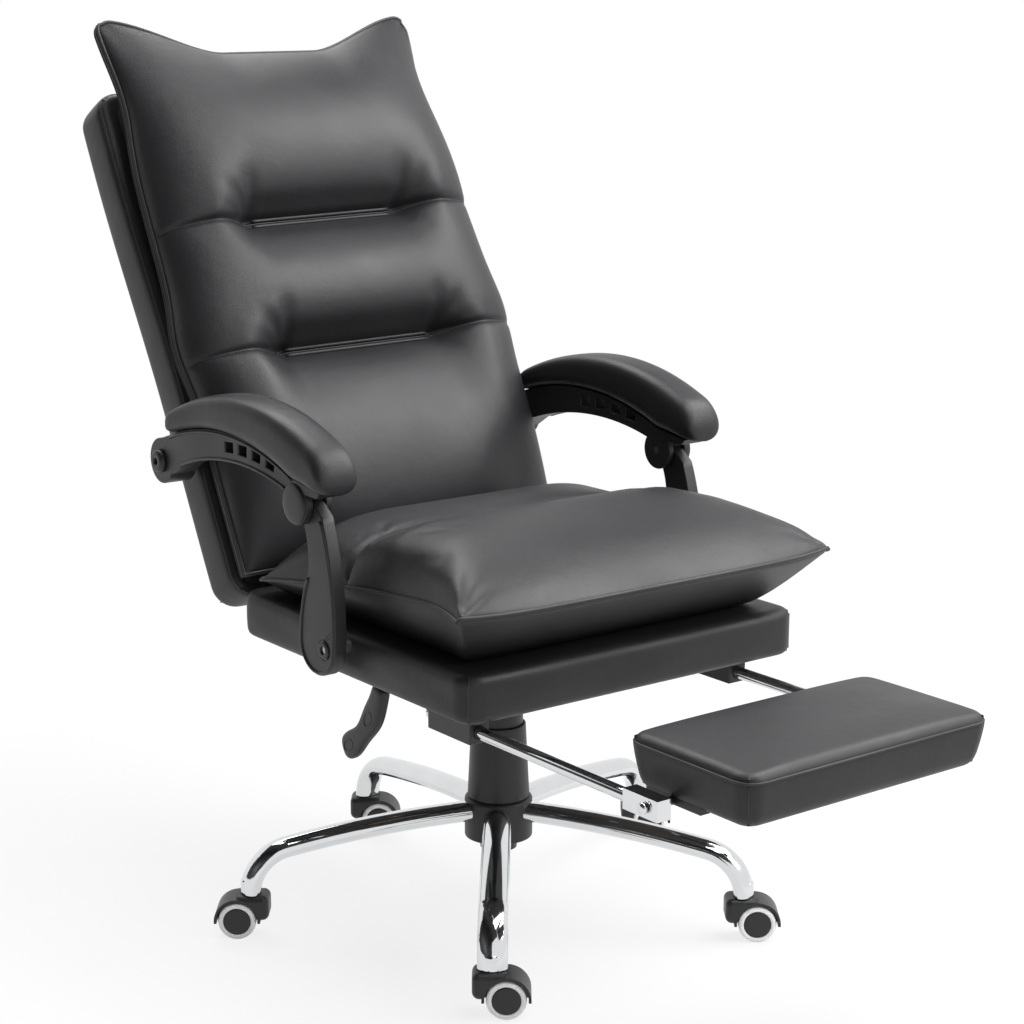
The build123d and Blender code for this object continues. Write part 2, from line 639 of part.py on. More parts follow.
def make_seat():
    middle = (SEAT_FRONT + SEAT_REAR) / 2
    outline = RectangleRounded(2 * SEAT_HALF_WIDTH, SEAT_REAR - SEAT_FRONT, SEAT_CORNER)
    box = extrude(Pos(0, middle, SEAT_UNDER) * outline, amount=SEAT_BOX_HEIGHT)
    box = fillet(box.edges().group_by(Axis.Z)[0] + box.edges().group_by(Axis.Z)[-1], SEAT_EDGE)
    bolts = both_sides(post_bolt())
    board = seat_board()
    save("seat_base", box - board - bolts)
    save("seat_board", board - bolts - shank(SEAT_UNDER, SEAT_UNDER + BOARD_THICKNESS))
    save("post_bolts", *bolts)
    save("seat_cushion", seat_cushion())


# Recline hinge
def seat_bracket():
    """Steel foot under the seat and the upright plate that carries the recline pin, left side."""
    under = SEAT_UNDER - HINGE_PLATE
    start = SEAT_REAR - HINGE_FOOT_LENGTH
    plate = make_face(
        Polyline(
            (start, SEAT_UNDER),
            (SEAT_REAR + SEAT_BEHIND, SEAT_UNDER),
            (HINGE_Y - HINGE_LUG_RADIUS * cos(pi / 4), HINGE_Z + HINGE_LUG_RADIUS * sin(pi / 4)),
            (HINGE_Y + HINGE_LUG_RADIUS * cos(pi / 4), HINGE_Z - HINGE_LUG_RADIUS * sin(pi / 4)),
            (SEAT_REAR + SEAT_BEHIND, SEAT_UNDER - HINGE_STRAP),
            (start, SEAT_UNDER - HINGE_STRAP / 2),
            close=True,
        )
    )
    plate += disc((HINGE_Y, HINGE_Z), HINGE_LUG_RADIUS)
    foot = block(
        (HINGE_PLATE_X - HINGE_FOOT_WIDTH, HINGE_PLATE_X), (start, SEAT_REAR - SEAT_EDGE), (under, SEAT_UNDER)
    )
    return slab(plate, HINGE_PLATE_X, HINGE_PLATE_X + HINGE_PLATE) + foot


def recline_pin():
    """Pin through the seat plate and the back plate, left side."""
    return rod_x(
        (HINGE_Y, HINGE_Z),
        HINGE_PIN_RADIUS,
        HINGE_PLATE_X - HINGE_PIN_END,
        HINGE_PLATE_X + 2 * HINGE_PLATE + SEAT_GAP + HINGE_PIN_END,
    )


def back_bracket():
    """Plate behind the back board that turns on the recline pin, left side, in the back's frame."""
    lug = HINGE_LUG_RADIUS * sin(pi / 4)
    plate = make_face(
        Polyline(
            (-lug, lug),
            (HINGE_LUG_RADIUS, BOARD_BACK),
            (HINGE_TAIL, BOARD_BACK),
            (HINGE_TAIL, BOARD_BACK - HINGE_STRAP / 2),
            (lug, -lug),
            close=True,
        )
    )
    plate += disc((0, 0), HINGE_LUG_RADIUS)
    plate -= disc((0, 0), HINGE_PIN_RADIUS + RUN)
    near = HINGE_PLATE_X + HINGE_PLATE + SEAT_GAP
    return slab(plate, near, near + HINGE_PLATE)


def make_recline_hinge():
    pins = both_sides(recline_pin())
    save("recline_seat_brackets", *[bracket - pins for bracket in both_sides(seat_bracket())])
    save("recline_back_brackets", *[BACK * bracket for bracket in both_sides(back_bracket())])
    save("recline_pins", *pins)


# Back, drawn in its own frame with the hinge as origin, Y up along the back and Z towards the sitter
def back_panel(half_width, low, high, corner, near, far):
    """A flat panel of the back between two distances from the hinge plane."""
    outline = Pos(0, (low + high) / 2, near) * RectangleRounded(2 * half_width, high - low, corner)
    return extrude(outline, amount=far - near)


def arm_bolt():
    """Shoulder bolt in the back board that an armrest turns on, left side, in the back's frame."""
    centre = (ARM_BOLT_UP, (BOARD_BACK + BOARD_FACE) / 2)
    bolt = rod_x(centre, PIVOT_RADIUS, BACK_HALF_WIDTH - ARM_BOLT_HOLD, ARM_OUTER + SEAT_GAP)
    bolt += rod_x(centre, PIVOT_SHOULDER, BACK_HALF_WIDTH + SEAT_GAP, ARM_INNER - SEAT_GAP)
    head = ARM_OUTER + SEAT_GAP
    return bolt + rod_x(centre, PIVOT_HEAD_RADIUS, head, head + PIVOT_HEAD_HEIGHT)


def pillow_section(up):
    """Back cushion cut across at one height above the hinge."""
    bounds = (PILLOW_FOOT, *PILLOW_SEAMS, PILLOW_TIP)
    panel = max(index for index, low in enumerate(bounds[:-1]) if up >= low)
    share = (up - bounds[panel]) / (bounds[panel + 1] - bounds[panel])
    low_end = PILLOW_END_CROWN if panel == 0 else PILLOW_SEAM_CROWN
    high_end = PILLOW_END_CROWN if panel == len(bounds) - 2 else PILLOW_SEAM_CROWN
    base = low_end + (high_end - low_end) * share
    rise = base + (PILLOW_CROWN - (low_end + high_end) / 2) * swell(share)
    shoulder_swell = PILLOW_SHOULDER - PILLOW_SHOULDER_SHARE * PILLOW_SEAM_CROWN
    shoulder = PILLOW_SHOULDER_SHARE * base + shoulder_swell * swell(share)
    lean = max(0.0, (up - BACK_TOP) / (PILLOW_TIP - BACK_TOP))
    edge = PILLOW_EDGE - (PILLOW_EDGE - PILLOW_TIP_EDGE) * lean
    foot = BOARD_FACE + (edge - PILLOW_END_CROWN - BOARD_FACE) * lean
    half_width = PILLOW_HALF_WIDTH - PILLOW_SEAM_TUCK * (1 - swell(share)) * (1 - lean)
    foot_half = PILLOW_HALF_WIDTH - PILLOW_FOOT_INSET
    run = PILLOW_SHOULDER_RUN
    return soft_section(level_plane(up), foot_half, foot, half_width, edge, run, edge + shoulder, edge + rise)


def back_cushion():
    """Pillow-topped back cushion with two cross seams and a top edge that sags between raised corners."""
    bounds = (PILLOW_FOOT, *PILLOW_SEAMS, PILLOW_TIP)
    panels = zip(bounds, bounds[1:])
    stations = [low + share * (high - low) for low, high in panels for share in PILLOW_STATIONS]
    pillow = loft([pillow_section(up) for up in stations + [PILLOW_TIP]], ruled=True)
    reach = PILLOW_HALF_WIDTH
    sag = ThreePointArc((-reach, PILLOW_TIP), (0, PILLOW_TIP - PILLOW_DIP), (reach, PILLOW_TIP))
    top = PILLOW_TIP + PILLOW_DIP
    rim = Polyline(sag @ 1, (reach, top), (-reach, top), sag @ 0)
    return pillow - extrude(make_face(Curve() + [sag, rim]), amount=PILLOW_EDGE + PILLOW_CROWN)


def make_back():
    pad = back_panel(BACK_HALF_WIDTH, BACK_FOOT, BACK_TOP, BACK_CORNER, BACK_SKIN, BOARD_BACK)
    pad = fillet(pad.edges().group_by(Axis.Z)[0], BACK_EDGE)
    slot_x = (HINGE_PLATE_X - HINGE_SLOT_ROOM, HINGE_PLATE_X + 2 * HINGE_PLATE + SEAT_GAP + HINGE_SLOT_ROOM)
    lug_slot = block(slot_x, (BACK_FOOT, HINGE_LUG_RADIUS + HINGE_SLOT_ROOM), (BACK_SKIN, BOARD_BACK))
    tail_top = HINGE_TAIL + HINGE_SLOT_ROOM
    tail_slot = block(slot_x, (BACK_FOOT, tail_top), (BACK_SKIN + BACK_EDGE / 2, BOARD_BACK))
    pad -= both_sides(lug_slot + tail_slot)
    inset = BACK_BOARD_INSET
    board_limits = (BACK_FOOT + inset, BACK_TOP - inset, BACK_CORNER - inset)
    board = back_panel(BACK_HALF_WIDTH - inset, *board_limits, BOARD_BACK, BOARD_FACE)
    bolts = both_sides(arm_bolt())
    save("back_pad", BACK * pad)
    save("back_board", BACK * (board - bolts))
    save("arm_bolts", *[BACK * bolt for bolt in bolts])
    save("back_cushion", BACK * back_cushion())


# Armrests, left side, then mirrored
def arm_arch():
    """Upper edge of the arm frame, where the pad lies: rear end, arch and front end."""
    rear = (ARM_REAR[0] - ARM_PAD_START, ARM_REAR[1] + ARM_LOBE_RADIUS + ARM_PAD_LIFT)
    front = (ARM_FRONT[0], ARM_FRONT[1] + ARM_KNUCKLE_RADIUS + ARM_PAD_LIFT / 2)
    middle = ((rear[0] + front[0]) / 2, (rear[1] + front[1]) / 2 + ARM_ARCH)
    return ThreePointArc(rear, middle, front)


def arm_nose():
    """Front end of the pad's underside."""
    return ARM_FRONT[0] - ARM_NOSE_RUN, ARM_FRONT[1] + ARM_KNUCKLE_RADIUS - ARM_NOSE_FALL


def arm_frame():
    """Arched moulding with a rear lobe, lightening windows and a forked front knuckle."""
    top = arm_arch()
    rear, middle, front = top @ 0, top @ 0.5, top @ 1
    nose = arm_nose()
    under = ThreePointArc(
        (rear.X - ARM_LOBE_RADIUS, rear.Y - ARM_BAND),
        (middle.X, middle.Y - ARM_BAND),
        (front.X + ARM_KNUCKLE_RADIUS / 2, front.Y - ARM_BAND / 2),
    )
    band = make_face(Curve() + [top, Polyline(front, under @ 1), under, Polyline(under @ 0, rear)])
    shelf = make_face(
        Polyline(
            front,
            (nose[0] + ARM_SHELF, nose[1]),
            (nose[0] + 2 * ARM_SHELF, nose[1] - ARM_SHELF),
            (front.X, front.Y - 2 * ARM_SHELF),
            under @ 1,
            close=True,
        )
    )
    lobe_neck = make_face(
        Polyline(
            rear,
            under @ 0,
            (ARM_REAR[0], ARM_REAR[1] - ARM_LOBE_RADIUS),
            (ARM_REAR[0], ARM_REAR[1] + ARM_LOBE_RADIUS),
            close=True,
        )
    )
    outline = band + shelf + lobe_neck + disc(ARM_REAR, ARM_LOBE_RADIUS) + disc(ARM_FRONT, ARM_KNUCKLE_RADIUS)
    for index in range(ARM_WINDOWS):
        share = ARM_WINDOW_FROM + index * ARM_WINDOW_STEP
        place, heading = under @ share, under % share
        turn = degrees(atan2(heading.Y, heading.X))
        window = Rot(0, 0, turn) * Rectangle(ARM_WINDOW_LENGTH, ARM_WINDOW_HEIGHT)
        outline -= Pos(place.X, place.Y + ARM_BAND / 2) * window
    frame = slab(outline, ARM_INNER, ARM_OUTER)
    slot = (POST_INNER - POST_SIDE_ROOM, POST_OUTER + POST_SIDE_ROOM)
    fork = disc(ARM_FRONT, POST_HEAD_RADIUS + POST_HEAD_ROOM)
    mouth = (ARM_FRONT[0], ARM_FRONT[1] - ARM_KNUCKLE_RADIUS + POST_NECK_DROP)
    fork += Pos(*mouth) * Rectangle(4 * ARM_KNUCKLE_RADIUS, 2 * ARM_KNUCKLE_RADIUS)
    frame -= slab(fork, *slot)
    return frame - rod_x(ARM_REAR, PIVOT_RADIUS + RUN, ARM_INNER, ARM_OUTER)


def arm_pin():
    """Pin across the knuckle, through the head of the post."""
    return rod_x(ARM_FRONT, PIVOT_RADIUS, ARM_INNER, ARM_OUTER)


def arm_pad():
    """Padded top that follows the arch and rolls over at the nose."""
    lower = arm_arch()
    rear, middle, front = lower @ 0, lower @ 0.5, lower @ 1
    nose = arm_nose()
    heel = (rear.X, rear.Y + ARM_PAD_REAR)
    brow = (front.X - ARM_NOSE_RUN / 2, front.Y + ARM_PAD_CROWN)
    top = ThreePointArc(heel, (middle.X, middle.Y + ARM_PAD_CROWN), brow)
    roll = TangentArc(brow, nose, tangent=top % 1)
    edges = [lower, Line(front, nose), roll, top, Line(heel, rear)]
    middle_x = (ARM_INNER + ARM_OUTER) / 2
    pad = slab(make_face(Curve() + edges), middle_x - ARM_PAD_WIDTH / 2, middle_x + ARM_PAD_WIDTH / 2)
    rolled = pad.faces().sort_by(Axis.Z)[-2:].edges().filter_by(GeomType.CIRCLE)
    return fillet(rolled, ARM_PAD_EDGE)


def arm_post():
    """Curved post from the seat side up to the knuckle of the arm."""
    foot_y, foot_z = POST_FOOT
    head_y, head_z = ARM_FRONT
    neck_front = (head_y - POST_NECK_AHEAD, head_z - POST_NECK_DROP)
    crown = (head_y, head_z + POST_HEAD_RADIUS)
    chin = (head_y, head_z - POST_HEAD_RADIUS)
    toe = (foot_y - POST_TOE, foot_z)
    heel = (foot_y + POST_HEEL, foot_z)
    waist = (chin[0] - POST_WAIST, (head_z + foot_z) / 2)
    shin = ((neck_front[0] + toe[0]) / 2 - POST_BOW, (neck_front[1] + toe[1]) / 2)
    edges = [
        Line(crown, neck_front),
        ThreePointArc(neck_front, shin, toe),
        ThreePointArc(toe, ((toe[0] + heel[0]) / 2, foot_z - POST_SOLE), heel),
        ThreePointArc(heel, (heel[0] - POST_BOW / 2, (heel[1] + waist[1]) / 2), waist),
        ThreePointArc(waist, ((waist[0] + chin[0]) / 2 - POST_BOW / 2, (waist[1] + chin[1]) / 2), chin),
        Line(chin, crown),
    ]
    outline = make_face(Curve() + edges) + disc(ARM_FRONT, POST_HEAD_RADIUS)
    post = slab(outline, POST_INNER, POST_OUTER)
    post -= rod_x(ARM_FRONT, PIVOT_RADIUS + LOOP_RUN, POST_INNER, POST_OUTER)
    post -= rod_x(POST_FOOT, PIVOT_RADIUS + RUN, POST_INNER, POST_OUTER)
    sink = PIVOT_HEAD_HEIGHT + SEAT_GAP
    return post - rod_x(POST_FOOT, PIVOT_HEAD_RADIUS + SEAT_GAP, POST_OUTER - sink, POST_OUTER)


def make_arms():
    pieces = {
        "arm_frame": arm_frame() - arm_pin(),
        "arm_pad": arm_pad(),
        "arm_pivot_pin": arm_pin(),
        "arm_post": arm_post(),
    }
    for name, solid in pieces.items():
        left, right = both_sides(solid)
        save(f"{name}_left", left)
        save(f"{name}_right", right)


# Footrest
def make_footrest():
    rod_line = (ROD_X, ROD_Z)
    bar = Plane.XZ.offset(-ROD_FRONT) * Pos(*rod_line) * Circle(ROD_RADIUS)
    rod = extrude(bar, amount=ROD_LENGTH, dir=(0, 1, 0))
    guide = block(
        (ROD_X - GUIDE_WIDTH / 2, ROD_X + GUIDE_WIDTH / 2),
        (GUIDE_FRONT, GUIDE_FRONT + GUIDE_LENGTH),
        (GUIDE_UNDER, SEAT_UNDER),
    )
    bore = Plane.XZ.offset(-GUIDE_FRONT) * Pos(*rod_line) * Circle(ROD_RADIUS + RUN)
    guide -= extrude(bore, amount=GUIDE_LENGTH, dir=(0, 1, 0))
    save("footrest_guides", *both_sides(guide))
    save("footrest_rods", *both_sides(rod))
    clevis = block(
        (ROD_X - CLEVIS_WIDTH / 2, ROD_X + CLEVIS_WIDTH / 2),
        (CLEVIS_FRONT, CLEVIS_FRONT + CLEVIS_LENGTH),
        (ROD_Z - CLEVIS_HEIGHT / 2, ROD_Z + CLEVIS_HEIGHT / 2),
    )
    flip = (FLIP_Y, FLIP_Z)
    pin_bore = rod_x(flip, FLIP_PIN_RADIUS + RUN, ROD_X - CLEVIS_WIDTH / 2, ROD_X + CLEVIS_WIDTH / 2)
    save("footrest_clevises", *both_sides(clevis - rod - pin_bore))
    strip_outer = ROD_X - CLEVIS_WIDTH / 2 - STRIP_GAP
    strip = block(
        (strip_outer - STRIP_WIDTH, strip_outer),
        (FLIP_Y - STRIP_LENGTH / 2, FLIP_Y + STRIP_LENGTH / 2),
        (REST_UNDER - STRIP_HEIGHT, REST_UNDER),
    )
    pin_end = ROD_X + CLEVIS_WIDTH / 2 + FLIP_PIN_RADIUS
    strip += rod_x(flip, FLIP_PIN_RADIUS, strip_outer - STRIP_WIDTH, pin_end)
    save("footrest_hinge_strips", *both_sides(strip))
    middle = (REST_FRONT + REST_REAR) / 2
    depth = REST_REAR - REST_FRONT
    pad = Pos(0, middle, REST_UNDER) * RectangleRounded(2 * REST_HALF_WIDTH, depth, REST_CORNER)
    pad = extrude(pad, amount=REST_THICKNESS)
    pad = fillet(pad.edges().group_by(Axis.Z)[-1], REST_EDGE)
    inset = 2 * REST_BOARD_INSET
    board = Pos(0, middle, REST_UNDER) * RectangleRounded(
        2 * REST_HALF_WIDTH - inset, depth - inset, REST_CORNER - REST_BOARD_INSET
    )
    board = extrude(board, amount=REST_BOARD)
    save("footrest_pad", pad - board)
    save("footrest_board", board)


os.makedirs("parts", exist_ok=True)
make_base()
make_casters()
make_lift()
make_mechanism()
make_lever()
make_seat()
make_recline_hinge()
make_back()
make_arms()
make_footrest()
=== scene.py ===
import json
import math

import bpy
import numpy as np
from bpy.props import FloatProperty, FloatVectorProperty, PointerProperty
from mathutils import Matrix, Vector


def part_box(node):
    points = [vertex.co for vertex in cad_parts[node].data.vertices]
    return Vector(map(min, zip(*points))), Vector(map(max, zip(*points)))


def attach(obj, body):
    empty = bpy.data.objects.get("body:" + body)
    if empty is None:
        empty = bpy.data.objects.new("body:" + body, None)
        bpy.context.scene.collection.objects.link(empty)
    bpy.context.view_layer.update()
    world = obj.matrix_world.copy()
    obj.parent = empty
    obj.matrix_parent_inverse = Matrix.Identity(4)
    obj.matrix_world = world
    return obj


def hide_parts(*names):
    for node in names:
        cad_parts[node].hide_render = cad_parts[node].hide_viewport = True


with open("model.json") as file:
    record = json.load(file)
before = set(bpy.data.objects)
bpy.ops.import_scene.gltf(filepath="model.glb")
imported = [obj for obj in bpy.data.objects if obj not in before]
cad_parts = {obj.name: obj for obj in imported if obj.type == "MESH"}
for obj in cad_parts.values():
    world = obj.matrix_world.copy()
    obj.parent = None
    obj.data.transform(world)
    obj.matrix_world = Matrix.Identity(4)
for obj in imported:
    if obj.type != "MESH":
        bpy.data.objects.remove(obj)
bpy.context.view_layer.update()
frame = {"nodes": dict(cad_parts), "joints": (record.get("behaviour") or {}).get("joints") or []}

bl_info = {
    "name": "Office chair with footrest",
    "version": (1, 0, 0),
    "blender": (4, 5, 0),
    "location": "View3D > Sidebar > Chair",
    "description": "Dresses the frame of a reclining office chair in leather, plastic and chrome",
    "category": "Object",
}

SIDES = {"left": 1.0, "right": -1.0}
CASTERS = range(1, 6)
WHEELS = {"a": 1.0, "b": -1.0}
JOINTS = {joint["name"]: joint for joint in frame["joints"]}


def length(name, default, description):
    """A size in metres that a user may change."""
    return FloatProperty(
        name=name, default=default, description=description, unit="LENGTH", precision=4
    )


def share(name, default, description):
    """A plain number from 0 to 1."""
    return FloatProperty(
        name=name, default=default, min=0.0, max=1.0, description=description, subtype="FACTOR"
    )


def colour(name, default, description):
    """A surface colour."""
    return FloatVectorProperty(
        name=name, default=default, size=3, min=0.0, max=1.0, description=description, subtype="COLOR"
    )


def view_angle(name, degrees, description):
    """An angle of the camera, given in degrees."""
    angle = math.radians(degrees)
    return FloatProperty(name=name, default=angle, description=description, subtype="ANGLE")


def lamp_power(name, watts, description):
    """The power of a lamp in watts."""
    return FloatProperty(name=name, default=watts, description=description, unit="POWER")


class ChairFinish(bpy.types.PropertyGroup):
    """Colours and surface grain."""

    leather: colour("Leather", (0.0145, 0.0136, 0.0152), "Colour of the leather on the cushions")
    leather_worn: colour("Worn leather", (0.0215, 0.0203, 0.0225), "Paler tone in the leather")
    leather_gloss: share("Leather roughness", 0.44, "Roughness of the leather")
    plastic: colour("Plastic", (0.017, 0.017, 0.018), "Colour of the moulded pieces")
    plastic_worn: colour("Scuffed plastic", (0.026, 0.026, 0.027), "Paler tone in the plastic")
    chrome: colour("Chrome", (0.74, 0.75, 0.76), "Colour of the plated legs and rods")
    steel: colour("Steel", (0.42, 0.42, 0.43), "Colour of the bare pins and bolts")
    tread: colour("Tread", (0.93, 0.93, 0.93), "Colour of the caster treads")
    wood: colour("Plywood", (0.03, 0.025, 0.021), "Colour of the boards")
    thread: colour("Thread", (0.03, 0.03, 0.031), "Colour of the seams and piping")


class SeatSizes(bpy.types.PropertyGroup):
    """Seat box and seat cushion."""

    channel: length("Cross seam", -0.032, "Depth at which the cross seam lies")
    crown: length("Front crown", 0.14, "Crest of the front roll above the seat box")
    rear_crown: length("Rear crown", 0.122, "Crest of the rear part above the seat box")
    edge_front: length("Front edge", 0.077, "Piped front edge above the seat box")
    edge_rear: length("Rear edge", 0.024, "Piped rear edge above the seat box")
    channel_drop: length("Channel depth", 0.03, "How far the cross seam lies below the crest")
    tip: length("Corner reach", 0.03, "How far the front corners reach out")
    set_back: length("Corner set-back", 0.022, "How far the front corners lie behind the front edge")
    half_width: length("Half width", 0.264, "Half of the cushion's width at its piping")
    piping: length("Piping radius", 0.0026, "Radius of the piping")


class BackSizes(bpy.types.PropertyGroup):
    """Back cushion and the pad behind it."""

    foot: length("Foot", -0.006, "Lower edge of the cushion above the hinge")
    lower_seam: length("Lower seam", 0.292, "Lower cross seam above the hinge")
    upper_seam: length("Upper seam", 0.486, "Upper cross seam above the hinge")
    tip: length("Tips", 0.812, "Raised corners above the hinge")
    dip: length("Dip", 0.058, "How far the top edge sags between the corners")
    half_width: length("Half width", 0.262, "Half of the cushion's width at its piping")
    bulge: length("Bulge", 0.011, "How far the cushion swells sideways above the armrests")
    neck: length("Neck", 0.012, "How far the cushion draws in below its raised corners")
    flare: share("Flare", 0.035, "Growth of the rear pad's width towards its top")
    slant: share("Slant", 0.03, "Sideways slope of the upper seam")
    edge: length("Edge", 0.095, "Piped edge ahead of the hinge")
    tip_edge: length("Tip edge", 0.092, "Piped edge ahead of the hinge at the raised corners")
    tip_round: length("Tip radius", 0.024, "Radius of the raised corners")
    crown: length("Crown", 0.078, "Crest of a panel ahead of the piped edge")
    seam_crown: length("Seam crown", 0.02, "Middle of a cross seam ahead of the piped edge")
    seam_edge_crown: length("Outer seam crown", 0.066, "Outer part of a cross seam ahead of the edge")
    strip: length("Tuft strip", 0.122, "Half length of the pressed strip in a cross seam")
    strip_width: length("Strip width", 0.0075, "Half width of the pressed strip")
    piping: length("Piping radius", 0.0024, "Radius of the piping")


class ArmSizes(bpy.types.PropertyGroup):
    """Armrest pads and the raised lines on the mouldings."""

    half_width: length("Half width", 0.031, "Half of the pad's width")
    middle: length("Middle", 0.295, "Middle of the pad from the middle of the chair")
    rounding: FloatProperty(name="Rounding", default=3.4, description="How square the pad's section is")
    bead: length("Bead radius", 0.0022, "Radius of the raised lines on the mouldings")


class RestSizes(bpy.types.PropertyGroup):
    """Footrest panel."""

    crown: length("Crown", 0.007, "How far the middle of the panel stands above its edge")
    corner: length("Corner radius", 0.024, "Radius of the panel's upright corners")
    edge: length("Edge radius", 0.014, "Radius of the panel's upper edge")
    side: length("Side", 0.006, "How far the cover stands out at the sides")
    skirt: length("Skirt", 0.008, "How far the cover hangs over the board")
    taper: length("Taper", 0.009, "How far the panel draws in towards its underside")
    piping: length("Piping radius", 0.0016, "Radius of the piping")


class StudioSettings(bpy.types.PropertyGroup):
    """Camera and light."""

    lens: FloatProperty(
        name="Lens", default=77.3, description="Focal length on a 36 mm sensor", unit="CAMERA"
    )
    camera: FloatVectorProperty(
        name="Camera",
        default=(-1.6885, -2.2712, 1.1785),
        description="Camera position",
        subtype="TRANSLATION",
    )
    heading: view_angle("Heading", -37.0, "Camera heading")
    tilt: view_angle("Tilt", 12.5, "Camera above the horizon")
    key: lamp_power("Key light", 60.0, "Power of the main soft light")
    top: lamp_power("Top light", 46.0, "Power of the overhead light")
    side: lamp_power("Side light", 72.0, "Power of the light above the left arm")
    rear: lamp_power("Rear light", 60.0, "Power of the light behind the back")
    ambient: share("Ambient", 0.28, "Strength of the light from all round")


# Shared places, in metres, and the lean of the back at rest
SEAT_LOW, SEAT_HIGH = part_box("seat_base")
CUSHION_LOW, CUSHION_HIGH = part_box("seat_cushion")
REST_LOW, REST_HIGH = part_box("footrest_pad")
HINGE = Vector(JOINTS["recline"]["pos_m"])
LEAN = math.radians(27.6)
UP = np.array((0.0, math.sin(LEAN), math.cos(LEAN)))
AHEAD = np.array((0.0, -math.cos(LEAN), math.sin(LEAN)))
ACROSS = np.array((1.0, 0.0, 0.0))


def on_back(x, up, ahead):
    """Places given across, along and ahead of the reclined back."""
    x, up, ahead = np.broadcast_arrays(x, up, ahead)
    return np.array(HINGE) + x[..., None] * ACROSS + up[..., None] * UP + ahead[..., None] * AHEAD


# Materials
class SurfaceNodes:
    """The shader nodes of one material or of the world."""

    def __init__(self, owner):
        owner.use_nodes = True
        self.nodes = owner.node_tree.nodes
        self.links = owner.node_tree.links

    def put(self, node, **inputs):
        """Links an output to each named input of a node, or sets its plain value."""
        for name, value in inputs.items():
            socket = node.inputs[name.replace("_", " ")]
            if isinstance(value, bpy.types.NodeSocket):
                self.links.new(value, socket)
            else:
                socket.default_value = value

    def add(self, kind, operation=None, **inputs):
        """A new node with its inputs."""
        node = self.nodes.new(kind)
        if operation:
            node.operation = operation
        self.put(node, **inputs)
        return node

    def texture(self, scale, detail=3.0, kind="ShaderNodeTexNoise"):
        """A texture over object space, in cells per metre."""
        place = self.add("ShaderNodeTexCoord").outputs["Object"]
        texture = self.add(kind, Vector=place, Scale=scale)
        if "Detail" in texture.inputs:
            self.put(texture, Detail=detail)
        return texture

    def span(self, source, low, high, start=0.3, end=0.7):
        """Maps a value from start to end onto a range."""
        ranged = self.add("ShaderNodeMapRange", Value=source)
        self.put(ranged, From_Min=start, From_Max=end, To_Min=low, To_Max=high)
        return ranged.outputs["Result"]

    def combine(self, operation, first, second):
        """Joins two values by a math operation."""
        joined = self.add("ShaderNodeMath", operation)
        self.links.new(first, joined.inputs[0])
        self.links.new(second, joined.inputs[1])
        return joined.outputs["Value"]

    def mix_shaders(self, factor, first, second, output):
        """Mixes two shaders into the surface of an output node."""
        mix = self.add("ShaderNodeMixShader", Fac=factor)
        self.links.new(first, mix.inputs[1])
        self.links.new(second, mix.inputs[2])
        self.put(self.nodes[output], Surface=mix.outputs["Shader"])

    def two_tone(self, source, dark, pale):
        """A colour that varies between two tones."""
        mix = self.nodes.new("ShaderNodeMix")
        mix.data_type = "RGBA"
        self.put(mix, Factor=source, A=(*dark, 1.0), B=(*pale, 1.0))
        return mix.outputs["Result"]

    def bump(self, layers):
        """Stacked bump layers, each a texture output with its height in metres."""
        normal = {}
        for height, depth in layers:
            step = self.add("ShaderNodeBump", Strength=1.0, Distance=depth, Height=height, **normal)
            normal = {"Normal": step.outputs["Normal"]}
        return step.outputs["Normal"]

    def direct(self):
        """1 for rays from the camera, a mirror or glass."""
        path = self.add("ShaderNodeLightPath").outputs
        seen = self.combine("MAXIMUM", path["Is Camera Ray"], path["Is Glossy Ray"])
        return self.combine("MAXIMUM", seen, path["Is Transmission Ray"])


def new_material(name):
    """A new material with its nodes and its shader."""
    material = bpy.data.materials.new(name)
    surface = SurfaceNodes(material)
    return material, surface, surface.nodes["Principled BSDF"]


def leather_material(look):
    """Smooth faux leather: pebbled grain, soft creases and slightly uneven gloss."""
    material, surface, shader = new_material("black_leather")
    patches = surface.texture(9.0, 4.0).outputs["Fac"]
    grain = surface.texture(620.0, kind="ShaderNodeTexVoronoi").outputs["Distance"]
    pores = surface.texture(1500.0, 2.0).outputs["Fac"]
    creases = surface.texture(55.0, 5.0).outputs["Fac"]
    gloss = look.leather_gloss
    surface.put(
        shader,
        Base_Color=surface.two_tone(patches, look.leather, look.leather_worn),
        Roughness=surface.span(patches, gloss - 0.05, gloss + 0.07),
        Specular_IOR_Level=0.36,
        Normal=surface.bump([(creases, 0.0005), (grain, 0.0001), (pores, 0.00004)]),
    )
    return material


def plastic_material(name, dark, pale, gloss):
    """Moulded plastic with a fine spark texture."""
    material, surface, shader = new_material(name)
    patches = surface.texture(14.0).outputs["Fac"]
    spark = surface.texture(1300.0, 2.0).outputs["Fac"]
    surface.put(
        shader,
        Base_Color=surface.two_tone(patches, dark, pale),
        Roughness=surface.span(patches, gloss - 0.05, gloss + 0.06),
        Specular_IOR_Level=0.4,
        Normal=surface.bump([(spark, 0.00005)]),
    )
    return material


def metal_material(name, tone, gloss):
    """Plated or bare metal with faint polishing marks."""
    material, surface, shader = new_material(name)
    smears = surface.texture(30.0).outputs["Fac"]
    surface.put(
        shader,
        Base_Color=surface.two_tone(smears, [0.9 * part for part in tone], tone),
        Roughness=surface.span(smears, gloss, gloss + 0.05),
        Metallic=1.0,
    )
    return material


def wood_material(look):
    """Plywood with a long grain."""
    material, surface, shader = new_material("stained_plywood")
    grain = surface.texture(26.0, kind="ShaderNodeTexWave")
    surface.put(grain, Distortion=4.0)
    tone = surface.two_tone(grain.outputs["Fac"], look.wood, [1.5 * part for part in look.wood])
    surface.put(shader, Base_Color=tone, Roughness=0.7)
    return material


FINISHES = {}


